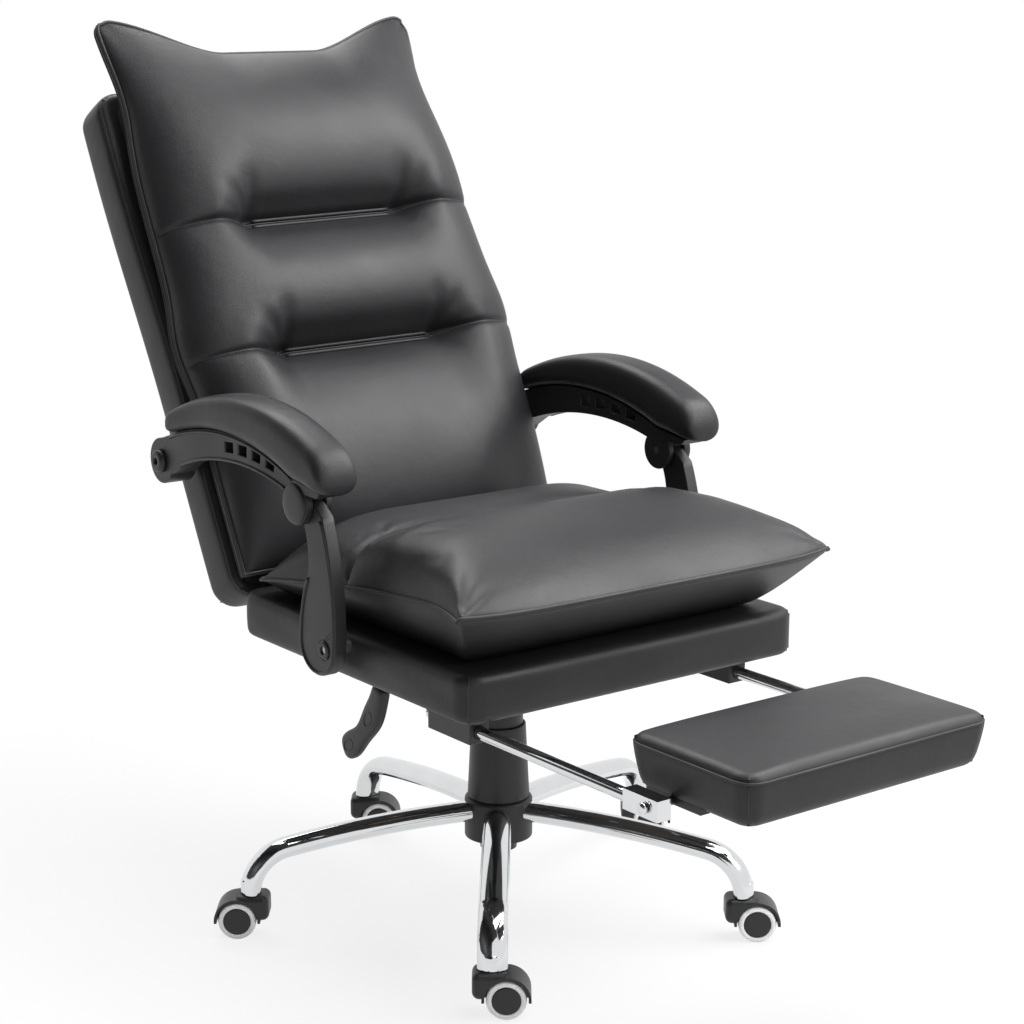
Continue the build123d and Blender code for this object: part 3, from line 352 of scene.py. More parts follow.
def make_finishes(look):
    """Makes each material once."""
    pale_tread = [min(1.0, 1.06 * part) for part in look.tread]
    moulded = {
        "black_plastic": ("black_plastic", look.plastic, look.plastic_worn, 0.42),
        "piping": ("piping_thread", look.thread, look.leather_worn, 0.5),
        "black_paint": ("black_paint", look.plastic, look.plastic_worn, 0.35),
        "caster_tread": ("caster_tread", look.tread, pale_tread, 0.4),
    }
    FINISHES["black_leather"] = leather_material(look)
    for finish, settings in moulded.items():
        FINISHES[finish] = plastic_material(*settings)
    FINISHES["polished_chrome"] = metal_material("polished_chrome", list(look.chrome), 0.05)
    FINISHES["plain_steel"] = metal_material("plain_steel", list(look.steel), 0.28)
    FINISHES["stained_plywood"] = wood_material(look)


# Mesh building
TURN_STEPS = 48
STUFFING_FRAMES = 20
STUFFING_PRESSURE = 4.0
STUFFING_CAP = 0.012
SKEW = (0.31, 0.52, 0.8)  # a direction that no line of piping starts in


def add_piece(name, verts, faces, finish, body):
    """A smooth mesh piece that rides on a body."""
    mesh = bpy.data.meshes.new(name)
    mesh.from_pydata([tuple(point) for point in verts], [], faces)
    mesh.validate()
    for polygon in mesh.polygons:
        polygon.use_smooth = True
    piece = bpy.data.objects.new(name, mesh)
    bpy.context.scene.collection.objects.link(piece)
    mesh.materials.append(FINISHES[finish])
    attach(piece, body)
    return piece


def quads(index, flip=False):
    """Faces of a grid of vertex numbers."""
    corners = (index[:-1, :-1], index[:-1, 1:], index[1:, 1:], index[1:, :-1])
    faces = np.stack([corner.ravel() for corner in corners], axis=1)
    return (faces[:, ::-1] if flip else faces).tolist()


def closed_shell(top, under):
    """Vertices and faces of two grids that share their rim, and both grids' vertex numbers."""
    rows, columns = top.shape[:2]
    upper = np.arange(rows * columns).reshape(rows, columns)
    lower = upper.copy()
    inner = np.arange((rows - 2) * (columns - 2)) + rows * columns
    lower[1:-1, 1:-1] = inner.reshape(rows - 2, columns - 2)
    verts = np.vstack([top.reshape(-1, 3), under[1:-1, 1:-1].reshape(-1, 3)])
    return verts, quads(upper) + quads(lower, True), upper, lower


def rim(index):
    """Vertex numbers round the rim of a grid, in order."""
    return np.concatenate([index[0, :-1], index[:-1, -1], index[-1, :0:-1], index[:0:-1, 0]])


def subdivide(piece):
    """Smooths a piece by subdivision."""
    modifier = piece.modifiers.new("smooth", "SUBSURF")
    modifier.levels = 1
    modifier.render_levels = 1


def upholster(piece, node):
    """Smooths a padded cover and lets it stand for its solid."""
    subdivide(piece)
    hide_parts(node)


def places(piece):
    """Vertex places of a piece."""
    flat = np.zeros(len(piece.data.vertices) * 3)
    piece.data.vertices.foreach_get("co", flat)
    return flat.reshape(-1, 3)


def set_places(piece, verts):
    """Moves a piece's vertices."""
    piece.data.vertices.foreach_set("co", np.asarray(verts, float).ravel())
    piece.data.update()


def stuff(piece, held):
    """Swells a cover against its seams with cloth simulation and keeps the result."""
    start = places(piece)
    group = piece.vertex_groups.new(name="held")
    group.add([int(number) for number in held], 1.0, "REPLACE")
    cloth = piece.modifiers.new("stuffing", "CLOTH")
    fabric = cloth.settings
    fabric.quality = 4
    fabric.mass = 0.35
    fabric.tension_stiffness = 22.0
    fabric.compression_stiffness = 22.0
    fabric.shear_stiffness = 9.0
    fabric.bending_stiffness = 1.2
    fabric.use_pressure = True
    fabric.uniform_pressure_force = STUFFING_PRESSURE
    fabric.vertex_group_mass = "held"
    fabric.effector_weights.gravity = 0.0
    cloth.collision_settings.use_collision = False
    cloth.point_cache.frame_start = 1
    cloth.point_cache.frame_end = STUFFING_FRAMES
    for moment in range(1, STUFFING_FRAMES + 1):
        bpy.context.scene.frame_set(moment)
    swollen = piece.evaluated_get(bpy.context.evaluated_depsgraph_get())
    flat = np.zeros(len(swollen.data.vertices) * 3)
    swollen.data.vertices.foreach_get("co", flat)
    move = flat.reshape(-1, 3) - start
    reach = np.linalg.norm(move, axis=1, keepdims=True)
    move *= np.minimum(1.0, STUFFING_CAP / np.maximum(reach, 1e-9))
    piece.modifiers.remove(cloth)
    piece.vertex_groups.clear()
    bpy.context.scene.frame_set(1)
    set_places(piece, start + move)


def tube(name, line, radius, finish, body, closed=False, sides=8):
    """A round cord of piping or a raised bead along a line of points."""
    line = np.asarray(line, float)
    ahead = np.roll(line, -1, 0) - np.roll(line, 1, 0)
    if not closed:
        ahead[0] = line[1] - line[0]
        ahead[-1] = line[-1] - line[-2]
    ahead /= np.linalg.norm(ahead, axis=1, keepdims=True)
    side = np.cross(ahead[0], SKEW)
    angles = np.arange(sides) * 2 * math.pi / sides
    rings = []
    for point, way in zip(line, ahead):
        side = side - way * side.dot(way)
        side /= np.linalg.norm(side)
        other = np.cross(way, side)
        ring = np.cos(angles)[:, None] * side + np.sin(angles)[:, None] * other
        rings.append(point + radius * ring)
    count = len(line)
    numbers = np.arange(count * sides).reshape(count, sides)
    loop = np.hstack([numbers, numbers[:, :1]])
    if closed:
        offset = closest_turn(rings[-1], rings[0])
        faces = quads(loop)
        last = np.roll(numbers[0], -offset)
        faces += quads(np.vstack([loop[-1], np.append(last, last[0])]))
    else:
        faces = quads(loop) + [numbers[0][::-1].tolist(), numbers[-1].tolist()]
    return add_piece(name, np.vstack(rings), faces, finish, body)


def closest_turn(ring, first):
    """How many places the first ring turns to meet the last one of a closed tube."""
    gaps = [np.linalg.norm(np.roll(first, -turn, 0) - ring, axis=1).sum() for turn in range(len(ring))]
    return int(np.argmin(gaps))


def turned(name, profile, start, axle, finish, body, ring=False):
    """A profile of (radius, distance along the axle) turned round the axle; a ring has no middle."""
    axle = np.asarray(axle, float)
    side = np.cross(axle, (0.0, 0.0, 1.0))
    side /= np.linalg.norm(side)
    other = np.cross(axle, side)
    angles = np.arange(TURN_STEPS) * 2 * math.pi / TURN_STEPS
    spokes = np.cos(angles)[:, None] * side + np.sin(angles)[:, None] * other
    points = [point for point in profile if point[0] > 0]
    verts = np.vstack([start + axle * along + radius * spokes for radius, along in points])
    numbers = np.arange(len(points) * TURN_STEPS).reshape(len(points), TURN_STEPS)
    loop = np.hstack([numbers, numbers[:, :1]])
    if ring:
        faces = quads(np.vstack([loop, loop[:1]]), True)
    else:
        faces = quads(loop, True)
        verts = np.vstack([verts, start + axle * profile[0][1], start + axle * profile[-1][1]])
        first, last = len(verts) - 2, len(verts) - 1
        faces += [[first, int(a), int(b)] for a, b in zip(loop[0][:-1], loop[0][1:])]
        faces += [[last, int(a), int(b)] for a, b in zip(loop[-1][1:], loop[-1][:-1])]
    return add_piece(name, verts, faces, finish, body)


def lofted(name, centres, wide, tall, rounding, finish, body, sides=40):
    """A rounded bar through centres, with its half width and half height given as arrows at each."""
    angles = np.arange(sides) * 2 * math.pi / sides
    power = 2.0 / rounding
    across = np.sign(np.cos(angles)) * np.abs(np.cos(angles)) ** power
    upward = np.sign(np.sin(angles)) * np.abs(np.sin(angles)) ** power
    rings = centres[:, None] + across[:, None] * wide[:, None] + upward[:, None] * tall[:, None]
    numbers = np.arange(len(centres) * sides).reshape(len(centres), sides)
    faces = quads(np.hstack([numbers, numbers[:, :1]]), True)
    faces += [numbers[0].tolist(), numbers[-1][::-1].tolist()]
    piece = add_piece(name, rings.reshape(-1, 3), faces, finish, body)
    subdivide(piece)
    return piece


def eased(count):
    """Shares from 0 to 1, closer together towards both ends."""
    plain = np.linspace(0.0, 1.0, count)
    return 0.45 * plain + 0.55 * (1.0 - np.cos(math.pi * plain)) / 2


def smooth_step(low, high, value):
    """A soft ramp from 0 at low to 1 at high."""
    part = np.clip((value - low) / (high - low), 0.0, 1.0)
    return part * part * (3.0 - 2.0 * part)


def swell(part, fullness=0.7):
    """Height share of a stuffed panel between two seams."""
    return np.sin(math.pi * np.clip(part, 0.0, 1.0)) ** fullness


def groove(distance, width):
    """Depth share of a seam at a distance from its line."""
    return np.exp(-((distance / width) ** 2))


def crease(across, along, start, heading, reach, width):
    """Depth share of a crease that runs from a point and fades out."""
    way = np.array((math.cos(heading), math.sin(heading)))
    forward = (across - start[0]) * way[0] + (along - start[1]) * way[1]
    sideways = -(across - start[0]) * way[1] + (along - start[1]) * way[0]
    spread = width * (0.6 + 0.9 * np.clip(forward / reach, 0.0, 1.0))
    fade = smooth_step(-0.004, 0.012, forward) * (1.0 - smooth_step(0.25 * reach, reach, forward))
    return fade * np.exp(-((sideways / spread) ** 2))


def fan(across, along, start, side, rays, width):
    """Depth of creases that fan out from a point, each with a heading (degrees), reach and depth."""
    depth = np.zeros_like(across)
    for heading, reach, pinch in rays:
        turn = math.radians(heading if side > 0 else 180 - heading)
        depth += pinch * crease(across, along, start, turn, reach, width)
    return depth


def within_rim(dent):
    """The same depths, with none on the rim of the grid."""
    inner = np.zeros_like(dent)
    inner[1:-1, 1:-1] = dent[1:-1, 1:-1]
    return inner


def soft_block(low, high, corner, edge, counts):
    """A rounded box: grid points of its six faces, with upright corners and level edges rounded."""
    low, high = np.array(low), np.array(high)
    half = (high - low) / 2
    lines = [np.linspace(-1, 1, count) for count in counts]
    lines = [np.sign(line) * (1 - (1 - np.abs(line)) ** 1.6) for line in lines]
    numbers, verts, faces = {}, [], []

    def number(point):
        key = tuple(np.round(point, 9))
        if key not in numbers:
            numbers[key] = len(verts)
            verts.append(point)
        return numbers[key]

    for axis in range(3):
        first, second = (axis + 1) % 3, (axis + 2) % 3
        for end in (-1.0, 1.0):
            grid = np.zeros((counts[second], counts[first]), int)
            for row, b in enumerate(lines[second]):
                for column, a in enumerate(lines[first]):
                    point = np.zeros(3)
                    point[axis], point[first], point[second] = end, a, b
                    grid[row, column] = number(point)
            faces += quads(grid, end < 0)
    points = np.array(verts) * half
    gap = half - np.abs(points)
    side = np.minimum(gap[:, 0], gap[:, 1])
    pull = np.stack([np.clip(edge - side, 0, None), np.clip(edge - gap[:, 2], 0, None)], axis=1)
    shrink = pull.max(1) / np.maximum(np.linalg.norm(pull, axis=1), 1e-12)
    both = (pull.min(1) > 0)[:, None]
    moved = np.where(both, pull * shrink[:, None], pull) - pull
    inward = np.where((gap[:, :2] == side[:, None]), -moved[:, :1], 0.0)
    points[:, :2] -= np.sign(points[:, :2]) * inward
    points[:, 2] += np.sign(points[:, 2]) * moved[:, 1]
    bend = np.clip(np.abs(points[:, :2]) - (half[:2] - corner), 0, None)
    ratio = bend.max(1) / np.maximum(np.linalg.norm(bend, axis=1), 1e-12)
    points[:, :2] += np.sign(points[:, :2]) * bend * (ratio - 1.0)[:, None]
    return points + (low + high) / 2, faces


def plan_loop(low, high, corner, height, count=176, inset=0.0):
    """A level rounded rectangle of points."""
    loop = []
    middle = ((low[0] + high[0]) / 2, (low[1] + high[1]) / 2)
    half = ((high[0] - low[0]) / 2 - inset, (high[1] - low[1]) / 2 - inset)
    radius = max(corner - inset, 0.002)
    for sx, sy, turn in ((1, 1, 0), (-1, 1, 90), (-1, -1, 180), (1, -1, 270)):
        for step in range(9):
            angle = math.radians(turn + step * 90 / 8)
            x = middle[0] + sx * (half[0] - radius) + radius * math.cos(angle)
            y = middle[1] + sy * (half[1] - radius) + radius * math.sin(angle)
            loop.append((x, y, height))
    return even_line(np.array(loop), count, True)


def corner_seams(name, body, middle, half, inset, heights, radius):
    """Upright seams at the four corners of a cover."""
    for index, (sx, sy) in enumerate(((-1, -1), (1, -1), (1, 1), (-1, 1))):
        x, y = middle[0] + sx * (half[0] - inset), middle[1] + sy * (half[1] - inset)
        seam = np.column_stack(np.broadcast_arrays(x, y, heights))
        tube(f"{name}_corner_seam_{index + 1}", seam, radius, "piping", body, sides=6)


def even_line(line, count, closed=False):
    """The same line with evenly spread points."""
    path = np.vstack([line, line[:1]]) if closed else np.asarray(line, float)
    steps = np.concatenate([[0.0], np.cumsum(np.linalg.norm(np.diff(path, axis=0), axis=1))])
    want = np.linspace(0.0, steps[-1], count, endpoint=not closed)
    return np.stack([np.interp(want, steps, path[:, axis]) for axis in range(3)], axis=1)


def arc_through(first, middle, last, shares):
    """Points (y, z) on the arc through three points."""
    (ax, ay), (bx, by), (cx, cy) = first, middle, last
    d = 2 * (ax * (by - cy) + bx * (cy - ay) + cx * (ay - by))
    ux = ((ax**2 + ay**2) * (by - cy) + (bx**2 + by**2) * (cy - ay) + (cx**2 + cy**2) * (ay - by)) / d
    uy = ((ax**2 + ay**2) * (cx - bx) + (bx**2 + by**2) * (ax - cx) + (cx**2 + cy**2) * (bx - ax)) / d
    radius = math.hypot(ax - ux, ay - uy)
    start = math.atan2(ay - uy, ax - ux)
    turn = math.atan2(cy - uy, cx - ux) - start
    mid = (math.atan2(by - uy, bx - ux) - start) % (2 * math.pi)
    turn %= 2 * math.pi
    if mid > turn:
        turn -= 2 * math.pi
    angles = start + turn * np.asarray(shares)
    return np.stack([ux + radius * np.cos(angles), uy + radius * np.sin(angles)], axis=1)


def keep_nodes(finish, *nodes, soften=0.0):
    """Gives carried-over solids their finish, with their sharp edges softened."""
    for node in nodes:
        solid = frame["nodes"][node]
        solid.data.materials.clear()
        solid.data.materials.append(FINISHES[finish])
        if soften:
            weld = solid.modifiers.new("join", "WELD")
            weld.merge_threshold = 0.00002
            bevel = solid.modifiers.new("soften", "BEVEL")
            bevel.width = soften
            bevel.segments = 2
            bevel.limit_method = "ANGLE"
            bevel.angle_limit = math.radians(40)
            smooth = solid.modifiers.new("shade", "WEIGHTED_NORMAL")
            smooth.keep_sharp = False


class ChairFinishes(bpy.types.Operator):
    """Make the materials"""

    bl_idname = "chair.finishes"
    bl_label = "Finishes"

    def execute(self, context):
        make_finishes(context.scene.chair_finish)
        return {"FINISHED"}


class ChairSeat(bpy.types.Operator):
    """Dress the seat box and its pillow-topped cushion"""

    bl_idname = "chair.seat"
    bl_label = "Seat"

    BOX_GRID = (70, 70, 18)
    BOX_CORNER, BOX_EDGE, BOX_BELLY = 0.026, 0.012, 0.0035
    BOX_PIPING_DROP, BOX_PIPING_INSET, BOX_SEAM_END = 0.0065, 0.0035, 0.008
    ROLL_ROWS, REAR_ROWS, COLUMNS, EDGE_POINTS = 52, 40, 92, 420
    WAIST, EDGE_STEP, REST_GAP = 0.006, 0.004, 0.0004
    SIDE_TUCK, FRONT_LIP, REAR_TUCK = 0.042, 0.098, 0.03
    SEAM_RADIUS, SEAM_GAP, SEAM_LIFT = 0.0013, 0.0035, 0.0012
    SEAM_DEPTH, SEAM_WIDTH, SEAM_END = 0.005, 0.006, 0.2
    TIP_INSET = 0.01
    CORNER_CREASES = ((100, 0.07, 0.003), (128, 0.1, 0.003), (160, 0.08, 0.003))
    SEAM_CREASES = ((120, 0.07, 0.003), (242, 0.09, 0.003), (205, 0.06, 0.003))
    CREASE_WIDTH = 0.006

    def execute(self, context):
        sizes = context.scene.chair_seat
        self.box(sizes)
        self.cushion(sizes)
        keep_nodes("stained_plywood", "seat_board")
        return {"FINISHED"}

    def box(self, sizes):
        """Upholstered box under the cushion, a little fuller at the middle of its sides."""
        low, high = np.array(SEAT_LOW), np.array(SEAT_HIGH)
        verts, faces = soft_block(low, high, self.BOX_CORNER, self.BOX_EDGE, self.BOX_GRID)
        middle, half = (low + high) / 2, (high - low) / 2
        part = (verts - middle) / half
        belly = self.BOX_BELLY * (1 - np.clip(np.abs(part[:, 2]), 0, 1) ** 2.5)
        for axis, other in ((0, 1), (1, 0)):
            face = smooth_step(0.9, 0.99, np.abs(part[:, axis]))
            ends = 1 - np.clip(np.abs(part[:, other]), 0, 1) ** 8
            ripple = 0.35 * np.sin(part[:, other] * 9.0) * (1 - np.abs(part[:, 2])) ** 2
            verts[:, axis] += np.sign(part[:, axis]) * face * ends * belly * (1 + ripple)
        box = add_piece("seat_box_cover", verts, faces, "black_leather", "seat")
        upholster(box, "seat_base")
        drop = self.BOX_PIPING_DROP
        for name, height in (("top", high[2] - drop), ("bottom", low[2] + drop)):
            loop = plan_loop(low, high, self.BOX_CORNER, height, inset=self.BOX_PIPING_INSET)
            tube(f"seat_box_piping_{name}", loop, sizes.piping, "piping", "seat", closed=True)
        inset = self.BOX_CORNER * (1 - math.sqrt(0.5))
        heights = np.linspace(low[2] + self.BOX_SEAM_END, high[2] - self.BOX_SEAM_END, 8)
        corner_seams("seat_box", "seat", middle, half, inset, heights, self.SEAM_RADIUS)

    def cushion_shape(self, sizes):
        """Upper and lower grids of the front roll and the rear part, and the row of the cross seam."""
        front, rear = CUSHION_LOW.y, CUSHION_HIGH.y
        base = SEAT_HIGH.z
        roll = front + (sizes.channel - front) * eased(self.ROLL_ROWS)
        back = sizes.channel + (rear - sizes.channel) * eased(self.REAR_ROWS)
        depth = np.concatenate([roll, back[1:]])
        seam_row = len(roll) - 1
        across = 2 * eased(self.COLUMNS) - 1
        y, u = np.meshgrid(depth, across, indexing="ij")
        part = (y - front) / (rear - front)
        edge = sizes.edge_front - (sizes.edge_front - sizes.edge_rear) * part**1.7
        tip = sizes.tip * np.clip(1 - part / 0.3, 0, None) ** 2
        waist = self.WAIST * np.sin(math.pi * np.clip((part - 0.12) / 0.88, 0, 1))
        half_width = sizes.half_width + tip - waist
        ahead = y < sizes.channel
        from_front = (y - front) / (sizes.channel - front)
        from_rear = (rear - y) / (rear - sizes.channel)
        panel = np.where(ahead, from_front, from_rear)
        peak = np.where(ahead, sizes.crown, sizes.rear_crown)
        seam = sizes.crown - sizes.channel_drop
        low_end = edge + self.EDGE_STEP
        crest = low_end + (seam - low_end) * panel + (peak - (low_end + seam) / 2) * swell(panel, 0.66)
        shoulder = np.clip((1 - np.abs(u) ** np.where(ahead, 10.0, 5.0)) ** 0.5, 1e-3, 1.0)
        rise = np.clip((crest - edge) / (peak - edge), 1e-3, 1.0)
        hip = (shoulder**-4.0 + rise**-4.0 - 1) ** -0.25
        near = 1 - smooth_step(0.2, 0.45, part)
        height = edge + (peak - edge) * (hip * near + shoulder * rise * (1 - near))
        height[:, 0], height[:, -1] = edge[:, 0], edge[:, -1]
        set_back = sizes.set_back * np.abs(u) ** 6 * (1 - smooth_step(0.0, 0.3, part))
        top = np.stack([u * half_width, y + set_back, base + height], axis=-1)
        inset = sizes.half_width - np.abs(top[..., 0]) + tip
        tuck = np.clip(1 - inset / self.SIDE_TUCK, 0, 1) ** 1.3
        lip = np.clip(1 - (y - front) / self.FRONT_LIP, 0, 1) ** 1.2
        rear_tuck = np.clip(1 - (rear - y) / self.REAR_TUCK, 0, 1) ** 1.6
        rise = np.maximum(np.maximum(tuck, rear_tuck), lip)
        under = top.copy()
        under[..., 2] = base + self.REST_GAP + edge * rise
        return top, under, seam_row

    def cushion_dents(self, sizes, grid):
        """Depth of the cross seam, and of the creases at its ends and at the front corners."""
        x, y = grid[..., 0], grid[..., 1]
        dent = self.SEAM_DEPTH * groove(y - sizes.channel, self.SEAM_WIDTH)
        for side in (-1.0, 1.0):
            corner_x = sizes.half_width + sizes.tip - self.TIP_INSET
            corner = (side * corner_x, CUSHION_LOW.y + sizes.set_back)
            seam_end = (side * self.SEAM_END, sizes.channel)
            dent += fan(x, y, corner, side, self.CORNER_CREASES, self.CREASE_WIDTH)
            dent += fan(x, y, seam_end, side, self.SEAM_CREASES, self.CREASE_WIDTH)
        return dent

    def cushion(self, sizes):
        """Pillow top with drawn-out front corners, swollen against its seams."""
        top, under, seam_row = self.cushion_shape(sizes)
        verts, faces, upper, lower = closed_shell(top, under)
        cushion = add_piece("seat_cushion_cover", verts, faces, "black_leather", "seat")
        held = [rim(upper), lower[1:-1, 1:-1].ravel(), upper[seam_row]]
        stuff(cushion, np.unique(np.concatenate(held)))
        verts = places(cushion)
        verts[upper.ravel(), 2] -= within_rim(self.cushion_dents(sizes, verts[upper])).ravel()
        set_places(cushion, verts)
        upholster(cushion, "seat_cushion")
        edge_line = even_line(verts[rim(upper)], self.EDGE_POINTS, True)
        tube("seat_cushion_piping", edge_line, sizes.piping, "piping", "seat", closed=True)
        for name, shift in (("front", -self.SEAM_GAP), ("rear", self.SEAM_GAP)):
            line = verts[upper[seam_row]] + (0.0, shift, self.SEAM_LIFT)
            tube(f"seat_cross_seam_{name}", line[1:-1], self.SEAM_RADIUS, "piping", "seat", sides=6)


class ChairBack(bpy.types.Operator):
    """Dress the back: the rear pad and the tufted cushion with raised corners"""

    bl_idname = "chair.back"
    bl_label = "Back"

    # Places on the back are across, up from and ahead of the recline hinge
    PAD_LOW, PAD_HIGH = (-0.256, -0.026, -0.024), (0.256, 0.722, 0.0494)
    PAD_GRID = (70, 90, 16)
    PAD_CORNER, PAD_EDGE, PAD_CROWN, PAD_BELLY = 0.032, 0.013, 0.005, 0.003
    PAD_PIPING_INSET, PAD_PIPING_POINTS = 0.0035, 240
    PAD_REAR_PIPING, PAD_FRONT_PIPING = 0.007, 0.006
    BORDER_DEPTH, BORDER_TUCK, BORDER_BULGE, BORDER_THICKNESS = 0.011, 0.002, 0.0012, 0.0015
    WELT_RADIUS = 0.0018
    PANEL_ROWS = (50, 40, 58)
    SEAM_ROWS = (PANEL_ROWS[0] - 1, PANEL_ROWS[0] + PANEL_ROWS[1] - 2)
    COLUMNS, EDGE_POINTS = 96, 560
    BOARD = 0.0505
    LEAN_START, FREE_START, FREE_END = 0.66, 0.69, 0.73
    FOOT_CROWN, TIP_CROWN, TIP_REAR = 0.008, 0.006, 0.004
    BULGE_LEVEL, BULGE_REACH = 0.315, 0.06
    NECK_LEVEL, NECK_REACH = 0.685, 0.08
    TUCK, REAR_SWELL = 0.03, 0.016
    OVERHANG, OVERHANG_RISE, OVERHANG_WIDTH = 0.007, 0.017, 0.012
    SEAM_DEPTH, SEAM_WIDTH = 0.0025, 0.004
    STRIP_CREASES = ((82, 0.085, 0.008), (46, 0.085, 0.007), (16, 0.07, 0.004), (-50, 0.06, 0.004))
    CREASE_WIDTH = 0.009
    STRIP_GAP, STRIP_LIFT, STRIP_RADIUS = 0.0042, 0.0016, 0.0024
    SEAM_LIFT, SEAM_RADIUS = 0.0004, 0.0011

    def execute(self, context):
        sizes = context.scene.chair_back
        self.pad(sizes)
        self.cushion(sizes)
        keep_nodes("stained_plywood", "back_board")
        return {"FINISHED"}

    def pad(self, sizes):
        """Rear pad of the back, with piping round both faces."""
        low, high = np.array(self.PAD_LOW), np.array(self.PAD_HIGH)
        verts, faces = soft_block(low, high, self.PAD_CORNER, self.PAD_EDGE, self.PAD_GRID)
        middle, half = (low + high) / 2, (high - low) / 2
        part = (verts - middle) / half
        crown = (1 - part[:, 0] ** 4) * (1 - part[:, 1] ** 4)
        rear = smooth_step(-0.9, -0.999, part[:, 2])
        verts[:, 2] -= self.PAD_CROWN * crown * rear
        for axis, other in ((0, 1), (1, 0)):
            face = smooth_step(0.9, 0.99, np.abs(part[:, axis]))
            belly = self.PAD_BELLY * (1 - np.abs(part[:, 2]) ** 2) * (1 - np.abs(part[:, other]) ** 10)
            verts[:, axis] += np.sign(part[:, axis]) * face * belly
        verts[:, 0] *= self.flare(sizes, verts[:, 1])
        placed = on_back(verts[:, 0], verts[:, 1], verts[:, 2])
        pad = add_piece("back_rear_pad", placed, faces, "black_leather", "back")
        upholster(pad, "back_pad")
        levels = {"rear": low[2] + self.PAD_REAR_PIPING, "front": high[2] - self.PAD_FRONT_PIPING}
        for name, height in levels.items():
            count, inset = self.PAD_PIPING_POINTS, self.PAD_PIPING_INSET
            loop = plan_loop(low, high, self.PAD_CORNER, height, count, inset)
            loop = on_back(loop[:, 0] * self.flare(sizes, loop[:, 1]), loop[:, 1], loop[:, 2])
            tube(f"back_pad_piping_{name}", loop, sizes.piping, "piping", "back", closed=True)

    def flare(self, sizes, up):
        """Growth of the rear pad's width towards its top."""
        return 1 + sizes.flare * smooth_step(0.25, 0.62, up)

    def rounded_tips(self, sizes, x, up):
        """The grid with its raised corners rounded off."""
        sideways = np.abs(x) - (sizes.half_width - sizes.tip_round)
        upward = up - (sizes.tip - sizes.tip_round)
        reach = np.clip(np.stack([sideways, upward]), 0, None)
        ratio = reach.max(0) / np.maximum(np.hypot(*reach), 1e-12)
        cut = reach * (1 - np.where(reach.min(0) > 0, ratio, 1.0))
        return x - np.sign(x) * cut[0], up - cut[1]

    def border(self, line):
        """Boxing strip behind the piped edge, with a second welt at its rear."""
        rear = line - self.BORDER_DEPTH * AHEAD
        middle = (line + rear) / 2
        centre = line.mean(0)
        out = middle - centre - np.outer((middle - centre) @ AHEAD, AHEAD)
        out /= np.linalg.norm(out, axis=1, keepdims=True)
        tuck, swollen = self.BORDER_TUCK * out, self.BORDER_BULGE * out
        rows = np.stack([line - tuck, middle + swollen, rear - tuck])
        rows = np.concatenate([rows, rows[:, :1]], axis=1)
        numbers = np.arange(rows.shape[0] * rows.shape[1]).reshape(rows.shape[:2])
        verts, faces = rows.reshape(-1, 3), quads(numbers)
        strip = add_piece("back_cushion_border", verts, faces, "black_leather", "back")
        strip.modifiers.new("thickness", "SOLIDIFY").thickness = self.BORDER_THICKNESS
        tube("back_cushion_rear_welt", rear, self.WELT_RADIUS, "piping", "back", closed=True)

    def seam_lines(self, sizes):
        """Heights of the foot, the two cross seams and the tips, with their sideways slopes."""
        heights = np.array((sizes.foot, sizes.lower_seam, sizes.upper_seam, sizes.tip))
        return heights, sizes.slant * np.array((0.0, 0.7, 1.0, 0.5))

    def cushion_shape(self, sizes):
        """Front and rear grids of the stuffed panels, and the points pressed flat in the strips."""
        bounds, slants = self.seam_lines(sizes)
        rows = [eased(count)[min(index, 1):] for index, count in enumerate(self.PANEL_ROWS)]
        panel_of = np.repeat(np.arange(3), [len(shares) for shares in rows])
        across = 2 * eased(self.COLUMNS) - 1
        s, u = np.meshgrid(np.concatenate(rows), across, indexing="ij")
        panel = np.repeat(panel_of[:, None], len(across), axis=1)
        low = bounds[panel] + slants[panel] * u * sizes.half_width
        sag = sizes.dip * (1 - smooth_step(0.3, 1.0, np.abs(u)) ** 0.9)
        high = bounds[panel + 1] + slants[panel + 1] * u * sizes.half_width
        high -= np.where(panel == 2, sag, 0.0)
        up = low + (high - low) * s
        lean = np.clip((up - self.LEAN_START) / (sizes.tip - self.LEAN_START), 0, 1)
        edge = sizes.edge - (sizes.edge - sizes.tip_edge) * lean
        beyond = smooth_step(0.92 * sizes.strip, 1.6 * sizes.strip, np.abs(u) * sizes.half_width)
        seam = sizes.seam_crown + (sizes.seam_edge_crown - sizes.seam_crown) * beyond
        low_end = np.where(panel == 0, self.FOOT_CROWN, seam)
        high_end = np.where(panel == 2, self.TIP_CROWN, seam)
        flat = sizes.strip_width * (1 - beyond)
        below, above = np.where(panel == 0, 0.0, flat), np.where(panel == 2, 0.0, flat)
        part = np.clip(((high - low) * s - below) / (high - low - below - above), 0, 1)
        rise = low_end + (high_end - low_end) * part
        rise += (sizes.crown - (low_end + high_end) / 2) * swell(part**0.8, 0.66)
        shoulder = (1 - np.abs(u) ** (2.8 + 2.6 * (1 - smooth_step(0.3, 0.62, up)))) ** 0.5
        wing = 1 - 0.3 * smooth_step(0.6, 1.0, np.abs(u)) * smooth_step(0.55, 1.0, s) * (panel == 2)
        sides = sizes.bulge * groove(up - self.BULGE_LEVEL, self.BULGE_REACH)
        sides -= sizes.neck * groove(up - self.NECK_LEVEL, self.NECK_REACH)
        half_width = sizes.half_width + sides
        x, up = self.rounded_tips(sizes, u * half_width, up)
        front = on_back(x, up, edge + rise * shoulder * wing)
        inset = half_width * (1 - np.abs(u))
        side_tuck = np.clip(1 - inset / self.TUCK, 0, 1) ** 1.5
        foot_tuck = np.clip(1 - (up - sizes.foot) / self.TUCK, 0, 1) ** 1.5
        free = smooth_step(self.FREE_START, self.FREE_END, up)
